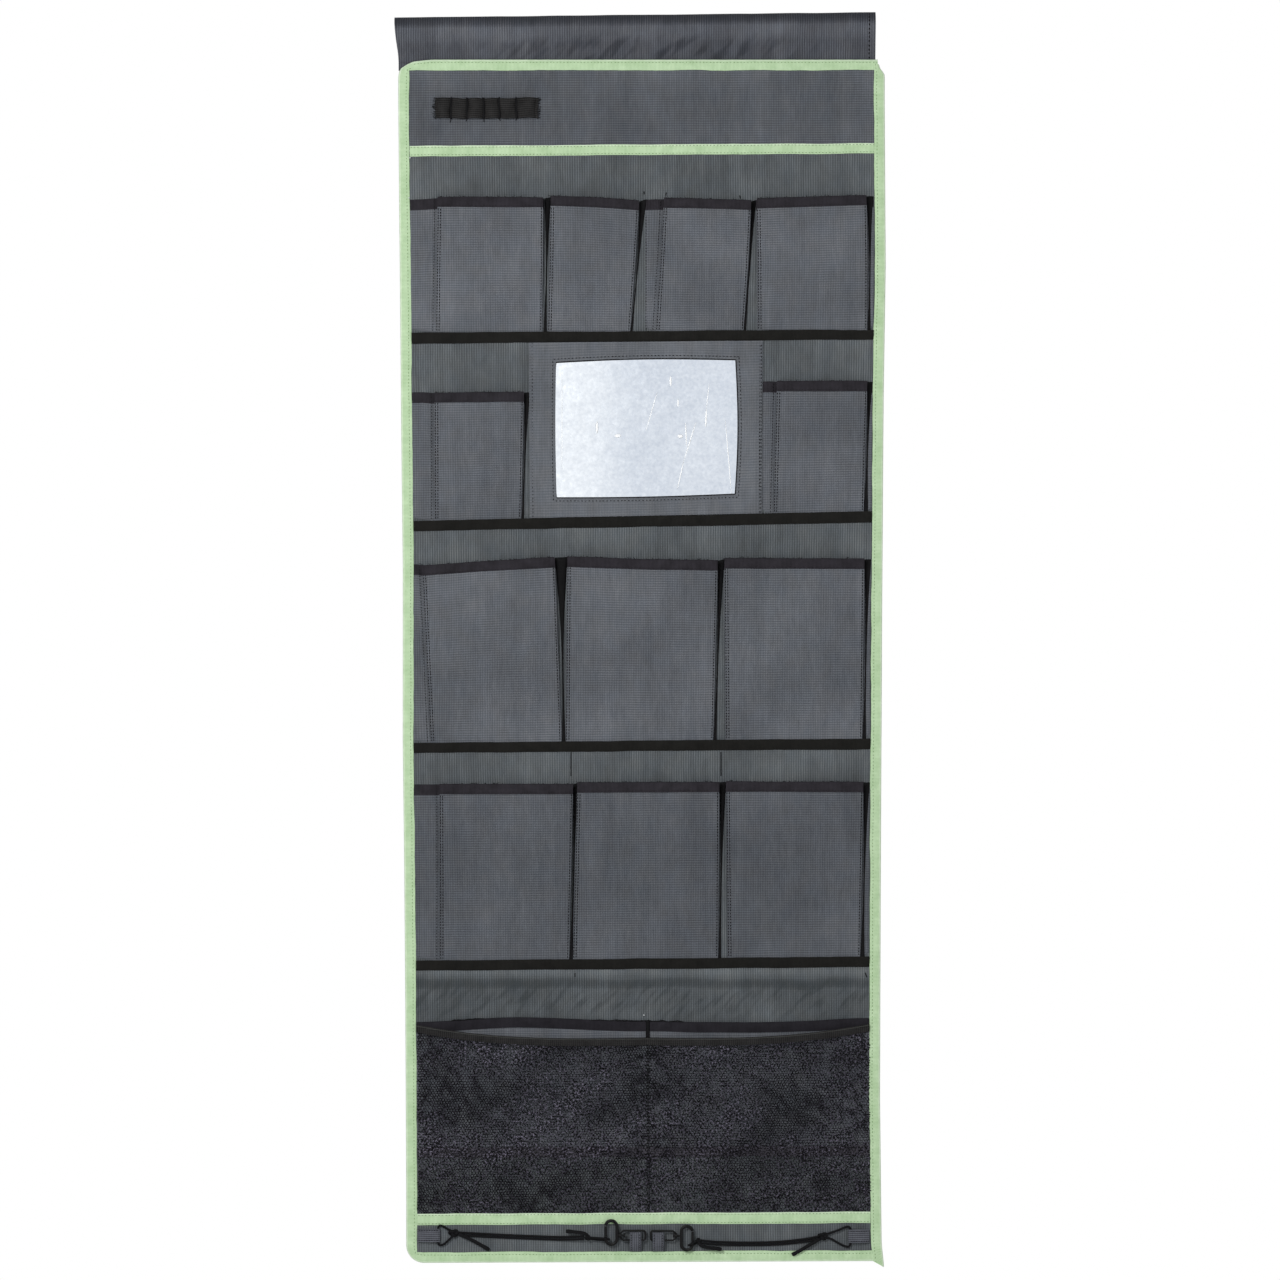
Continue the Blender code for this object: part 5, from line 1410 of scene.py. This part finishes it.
def mirror():
    (left, right), (foot, top) = MIRROR_X, MIRROR_Z
    columns, rows = window_lines(MIRROR_X, WINDOW_X, 7, 40), window_lines(MIRROR_Z, WINDOW_Z, 6, 30)
    x, z = np.meshgrid(columns, rows)
    middles = [(places[:-1] + places[1:]) / 2 for places in (columns, rows)]
    within_x, within_z = ((middle > low) & (middle < high)
                          for middle, (low, high) in zip(middles, (WINDOW_X, WINDOW_Z)))
    inside = within_x[None, :] & within_z[:, None]
    away_x = np.maximum(WINDOW_X[0] - x, x - WINDOW_X[1])
    away_z = np.maximum(WINDOW_Z[0] - z, z - WINDOW_Z[1])
    away = np.clip(np.maximum(away_x, away_z), 0, None)
    depth = 0.0013 + 0.0008 * ease(away, 0, 0.0022) + 0.00035 * ripple(x, z, 0.03, 310) * ease(away, 0, 0.006)
    depth = depth - 0.0008 * (1 - np.minimum(np.minimum(x - left, right - x), 0.003) / 0.003)
    tuck_x, tuck_z = bowed(x, z)
    for corner_x, towards_x in zip(WINDOW_X, (1, -1)):
        for corner_z, towards_z in zip(WINDOW_Z, (1, -1)):
            pull = 0.0005 * np.exp(-np.hypot(x - corner_x, z - corner_z) / 0.0018)
            tuck_x = tuck_x + towards_x * pull
            tuck_z = tuck_z + towards_z * pull
    cloth = skin("mirror_surround", laid(tuck_x, depth, tuck_z), pair(x, z), 0.0005, FRAME, keep=~inside)
    seat(cloth, "grey_polyester", "root", "mirror_frame")
    corners = window_corners(WINDOW_SEAM)
    lines = [bowed_line(start, end, 0.0026) for start, end in zip(corners, corners[1:] + corners[:1])]
    for column, high in ((left + 0.0030, top), (right - 0.0012, top - 0.002), (right - 0.0026, top - 0.002)):
        lines.append(laid(column, 0.0023, np.linspace(foot, high, 40)))
    sewn = sew("surround_stitches", lines, 0.0036, 0.0027, 0.0009, 311)
    # Thin dark tubes along the window's top, right and low edges: painted shadow in the gap between the foil
    # and the cloth
    low_left, top_left, top_right, low_right = window_corners(0)
    shadow_tubes = [tube("rim", bowed_line(start, end, 0.0017), 0.0006, THREAD_BLACK, sides=6)
            for start, end in ((top_left, top_right), (top_right, low_right), (low_left, low_right))]
    bundle("surround_painted_shadow", shadow_tubes)
    x, z = grid(WINDOW_X[0] - PLATE_UNDER, WINDOW_X[1] + PLATE_UNDER, WINDOW_Z[0] - PLATE_UNDER,
                WINDOW_Z[1] + PLATE_UNDER, 0.004)
    sideways, upwards = lay(x, z)
    points = straight(x + sideways, 0.0008 + 0.00012 * ripple(x, z, 0.06, 312), z + upwards)
    seat(skin("mirror_plate", points, pair(x, z), 0.0008, SILVER), "mirror_sheet", "root", "mirror")
    marks = []
    t = np.linspace(0, 1, 5)
    for (from_x, from_y), (to_x, to_y), thick in SCRATCHES:
        path = straight(photo_x(from_x + (to_x - from_x) * t), 0.0014, photo_z(from_y + (to_y - from_y) * t))
        radii = thick / 1250 * (0.35 + 0.65 * np.sin(math.pi * t) ** 0.5)
        marks.append(tube("scratch", path, radii, SCRATCH, sides=6, flat=0.4))
    bundle("mirror_scratches", marks, "mirror_sheet")


# The inner pockets and the net

SEAM_X = 0.0050
INNER_BULGE = 0.0060
NET_STANDOFF = 0.0024
NET_BULGE = 0.0160
NET_BELOW_HEM = 0.0062
NET_SAG = 0.0136
NET_ELASTIC_WIDTH = 0.0076
NET_CELL = 0.0029
NET_THREAD = 0.00050
NET_TUCK = 0.0020
NET_WANDER = 0.0009


def lobe(x):
    """How far cloth bulges between the side and centre seams."""
    left = x < SEAM_X
    start, end = np.where(left, -CLEAR_HALF, SEAM_X), np.where(left, SEAM_X, CLEAR_HALF)
    return 1 - (2 * share_of(x, start, end) - 1) ** 2


def inner_depth(x, z):
    up = share_of(z, ROW_FEET[4], ROW_TOPS[4])
    waves = 0.0008 * ripple(x, z * 0.6, 0.03, 330) + 0.0004 * ripple(x, z, 0.014, 331)
    return 0.0006 + INNER_BULGE * lobe(x) * up + waves * ease(lobe(x), 0, 0.3) * (0.4 + 0.6 * up)


# How far the inner mouth hangs below its straight line: (pixel column, millimetres)
MOUTH_DROP = ((415, 4.2), (440, 3.2), (470, 1.0), (500, -0.6), (535, -0.6), (580, 1.4), (640, 3.8),
              (655, 3.2), (700, 4.6), (760, 5.2), (810, 3.6), (850, 1.4), (875, 1.2))


def mouth_drop(x):
    pixels, drops = zip(*MOUTH_DROP)
    places = [photo_x(pixel) for pixel in pixels]
    return sum(np.interp(x + shift, places, drops) for shift in (-0.012, 0.0, 0.012)) / 3000


INNER_FOLD = np.array((
    (HEM_WIDTH, 0.0008), (HEM_WIDTH * 0.6, 0.0010), (0.0010, 0.0010), (0.0, 0.0006), (-0.0002, 0.0),
    (0.0001, -0.0006), (0.0012, -0.0009), (HEM_WIDTH, -0.0008),
))


def inner_pockets():
    mouth = ROW_TOPS[4]
    x, z = grid(-CLEAR_HALF, CLEAR_HALF, ROW_FEET[4] - 0.006, mouth - 0.0006, 0.0036)
    z = z - mouth_drop(x) * ease(z, mouth - 0.05, mouth)
    cloth = spread("inner_cloth", x, inner_depth(x, z), z, 0.0006, POCKET, "grey_polyester", "inner_pockets")
    x, step = np.meshgrid(across_panel(150), np.arange(len(INNER_FOLD)))
    drop, lift = INNER_FOLD[step, 0], INNER_FOLD[step, 1]
    z = mouth - mouth_drop(x) - drop + 0.0003 * ripple(x, 0, 0.025, 332)
    depth = inner_depth(x, np.minimum(z, mouth)) + lift
    edge = spread("inner_mouth", x, depth, z, 0.0005, INNER_HEM, "hem_tape", "inner_pocket_hem",
                  pair(x, -drop))
    top = mouth - float(mouth_drop(SEAM_X))
    z = np.linspace(top + 0.0010, top - 0.0165, 8)
    # A dark flattened strip down the top of the centre seam, where the two pockets bulge apart: painted shade
    # in the dip between them
    strands = [tube("divide", laid(SEAM_X, 0.0026, z), 0.0019, GAP_DARK, sides=8, flat=0.5)]
    chance = np.random.default_rng(333)
    for spot in np.concatenate([chance.uniform(-0.222, -0.165, 9), chance.uniform(-0.05, 0.045, 16)]):
        lean, rise = chance.uniform(0.003, 0.009), chance.uniform(0.0002, 0.0014)
        x = np.array([spot - lean, spot, spot + lean])
        level = mouth - mouth_drop(x)
        path = laid(x, inner_depth(x, level) + 0.0010, level + np.array([-0.0002, rise, 0.0]))
        strands.append(tube("thread", path, 0.00035, THREAD_BLACK, sides=5))
    threads = bundle("inner_threads", strands)


def net_mouth(x):
    return ROW_TOPS[4] - NET_BELOW_HEM - NET_SAG * (1 - np.abs(x / INNER_HALF) ** 3)


def net_depth(x, z):
    foot = NET_TAPE[0]
    up = share_of(z, foot, net_mouth(x))
    waves = 0.0009 * ripple(x, z * 0.5, 0.035, 340) * ease(lobe(x), 0, 0.4) * (0.3 + 0.7 * up)
    off = 0.0004 + (NET_STANDOFF - 0.0004) * ease(z, foot - 0.0002, foot + 0.0035)
    return off + (NET_BULGE * lobe(x) * up + waves) * ease(z, foot, foot + 0.004)


def net():
    """A knitted net: a honeycomb of threads, drawn as three-sided strands."""
    side = NET_CELL / math.sqrt(3)
    foot, high = NET_TAPE[0] - NET_TUCK, float(net_mouth(CLEAR_HALF - 0.0005))
    columns, rows = round(2 * CLEAR_HALF / NET_CELL), round((high - foot) / (1.5 * side))
    i, j = np.meshgrid(np.arange(columns), np.arange(rows))
    x = -CLEAR_HALF + (i + 0.5 * (j % 2) + 0.25) * NET_CELL
    z = foot + j * 1.5 * side
    centre = pair(x, z).reshape(-1, 2)
    spokes = [np.array((math.sin(t), math.cos(t))) * side for t in np.radians((0, 60, 120, 180))]
    starts = np.concatenate([centre + spoke for spoke in spokes[:-1]])
    ends = np.concatenate([centre + spoke for spoke in spokes[1:]])
    starts, ends = (spots + pair(*(NET_WANDER * ripple(*spots.T, size, seed) for size, seed in
                                   ((0.0042, 341), (0.0036, 342)))) for spots in (starts, ends))
    middle = (starts + ends) / 2
    kept = (np.abs(middle[:, 0]) < CLEAR_HALF) & (middle[:, 1] < net_mouth(middle[:, 0]) - 0.001)
    starts, ends = starts[kept], ends[kept]
    run = unit(ends - starts)
    thick = NET_THREAD * (1 + 0.5 * ripple(*middle[kept].T, 0.0050, 344))[:, None]
    across = pair(run[:, 1], -run[:, 0]) * thick
    reach = run * thick * 0.5
    rings = []
    for end in (starts - reach, ends + reach):
        base = net_depth(*end.T)
        for shift, lift in ((across, -0.0002), (-across, -0.0002), (0 * across, 0.0003)):
            spot = end + shift
            rings.append(laid(spot[:, 0], base + lift, spot[:, 1]))
    verts = np.stack(rings, axis=1).reshape(-1, 3)
    first = np.arange(len(starts))[:, None] * len(rings)
    sides = [(0, 2, 5, 3), (2, 1, 4, 5), (1, 0, 3, 4), (0, 1, 2), (3, 5, 4)]
    faces = [face for side in sides for face in (first + np.array(side)).tolist()]
    mesh = seat(make("net_mesh", verts, faces, verts[:, [0, 2]], NET), "black_net", "root", "net_pocket")
    x, t = np.meshgrid(across_panel(170), np.linspace(0, 1, 7))
    z = net_mouth(x) - NET_ELASTIC_WIDTH * (1 - t)
    fold = 0.0006 + 0.0006 * np.sin(math.pi * t) + 0.00025 * ripple(x, z * 0.2, 0.006, 342)
    band = spread("net_band", x, net_depth(x, z) + fold, z, 0.0007, ELASTIC, "black_elastic", "net_elastic")
    z = np.linspace(NET_TAPE[0], float(net_mouth(SEAM_X)) - 0.002, 80)
    lines = [laid(SEAM_X + beside, NET_STANDOFF + 0.0010, z) for beside in (-0.0007, 0.0007)]
    seam = sew("net_seam", lines, 0.0034, 0.0030, 0.0013, 343, "black_net")
    x = across_panel(200)
    z = net_mouth(x) - 0.0013
    piping = tube("net_selvedge", laid(x, net_depth(x, z) + 0.0013, z), 0.0004, SELVEDGE, sides=6)
    seat(piping, "black_elastic", "root")


# Thread ends: (pixel column, pixel row, lean in degrees from upright, length in mm)
WHITE_ENDS = ((410, 158, 60, 1.2), (409, 198, 30, 1.2), (644, 1015, 0, 1.0))
BLACK_ENDS = ((866, 975, -20, 5.0), (644, 193, 0, 3.0), (666, 194, 10, 3.0),
              (740, 197, -12, 3.0), (575, 975, 0, 4.0), (571, 764, 0, 24.0), (721, 764, 0, 24.0))


def thread_ends():
    """Machine tacks and cut ends left on the panel and its binding."""
    strands = []
    for ends, finish, radius, lift in ((WHITE_ENDS, THREAD_WHITE, 0.0006, 0.0016),
                                       (BLACK_ENDS, THREAD_BLACK, 0.0005, 0.0004)):
        for column, row, lean, run in ends:
            share = np.linspace(-0.5, 0.5, 5) * run / 1000
            lean = math.radians(lean)
            x, z = photo_x(column) + share * math.sin(lean), photo_z(row) + share * math.cos(lean)
            sideways, upwards = lay(x, z)
            strands.append(tube("end", laid(x - sideways, lift, z - upwards), radius, finish, sides=6))
    bundle("thread_ends", strands)


# Bottom fastenings

WEBBING = 0.0010
LOOP_GAP = 0.0003
RING_DEPTH = 0.0056
RING_WIRE = 0.0010
# Name, place of the fold across the panel, height, how far in from the cloth's clear edge it starts
SIDE_TABS = (
    ("left_side_tab", -0.2024, -1.2090, 0.0034),
    ("right_side_tab", 0.2050, -1.2098, 0.0030),
)
# Name, body, place across the panel, height of the fold
CENTRE_TABS = (
    ("left_centre_tab", "left_tab", -0.0075, -1.2055),
    ("right_centre_tab", "right_tab", 0.0153, -1.2058),
)


def folded_webbing(base, fold, middle, hold):
    """A loop's side view, as (run, depth): flat at its base, and round hold thick at its fold."""
    turn = middle - hold / 2 - WEBBING / 2
    half = middle - turn
    centre = fold - half - WEBBING / 2
    knee = base + (centre - base) * 0.45
    halfway = base + (knee - base) * 0.5
    back = LOOP_GAP + WEBBING / 2
    front = back + WEBBING + LOOP_GAP
    path = [(base, back), (halfway, back + (turn - back) * 0.35), (knee, turn), (centre, turn)]
    path += [(centre + half * math.cos(a), middle + half * math.sin(a)) for a in np.linspace(-1.3, 1.3, 9)]
    outer = middle + half
    path += [(centre, outer), (knee, outer), (halfway, front + (outer - front) * 0.65), (base, front)]
    return np.array(path)


def webbing_loop(name, node, body, path, place, width, stitch_lines):
    """A loop of ribbed webbing; place turns (run, depth, across) into world points."""
    path = smooth_path(path, 0.0008)
    across = np.linspace(-0.5, 0.5, 9) * width
    thick = WEBBING * 0.85
    points = place(*np.broadcast_arrays(path[:, None, 0], path[:, None, 1], across))
    piece = skin(name, points, pair(across, lengths_along(path)[:, None]), thick, WEB)
    seat(piece, "grey_webbing", body, node)
    outer = path[int(np.argmax(path[:, 0])) + 4:]
    lines = [place(outer[:, 0], outer[:, 1] + thick / 2 + 0.0001, share * width) for share in stitch_lines]
    return piece, sew(name + "_stitches", lines, 0.0026, 0.0023, 0.0009, 400, "grey_webbing", body)


def tabs():
    middle = LOOP_GAP + WEBBING + LOOP_GAP + CORD_RADIUS
    for name, end, z, base in SIDE_TABS:
        sign = math.copysign(1, end)

        def place(run, depth, span, sign=sign, z=z):
            return straight(sign * (CLEAR_HALF - run), depth, z - sign * span)

        path = folded_webbing(base, CLEAR_HALF - abs(end), middle, 2 * (CORD_RADIUS + LOOP_GAP))
        piece, sewn = webbing_loop(name + "_loop", name, "root", path, place, 0.0130, (-0.38, 0.38))
    for name, body, x, fold in CENTRE_TABS:

        def place(run, depth, span, x=x):
            return straight(x - span, depth, run)

        path = folded_webbing(BINDING_INNER_FOOT + 0.0003, fold, RING_DEPTH, 2 * (RING_WIRE + LOOP_GAP))
        piece, sewn = webbing_loop(name + "_loop", name, body, path, place, 0.0115, (-0.36, 0.36))


def hardware():
    for side in ("left", "right"):
        for part in ("eye_ring", "snap_hook", "hook_gate"):
            node = frame["nodes"][f"{side}_{part}"]
            for slot in node.material_slots:
                slot.material = PLASTIC


def save_size():
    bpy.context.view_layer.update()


def main():
    bpy.context.scene.view_settings.view_transform = "Standard"
    camera()
    world(AMBIENT)
    for name, place, size, power in LAMPS:
        lamp(name, place, size, power)
    floor()
    cords()
    back, head = panel()
    for tape, sewn in (*tapes(), *bindings()):
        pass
    sleeve_cloth, sleeve_thread = sleeve()
    band, threads = elastic()
    for row, number in POCKETS:
        pocket(row, number)
    gaps()
    mirror()
    inner_pockets()
    net()
    tabs()
    thread_ends()
    hardware()
    save_size()


main()
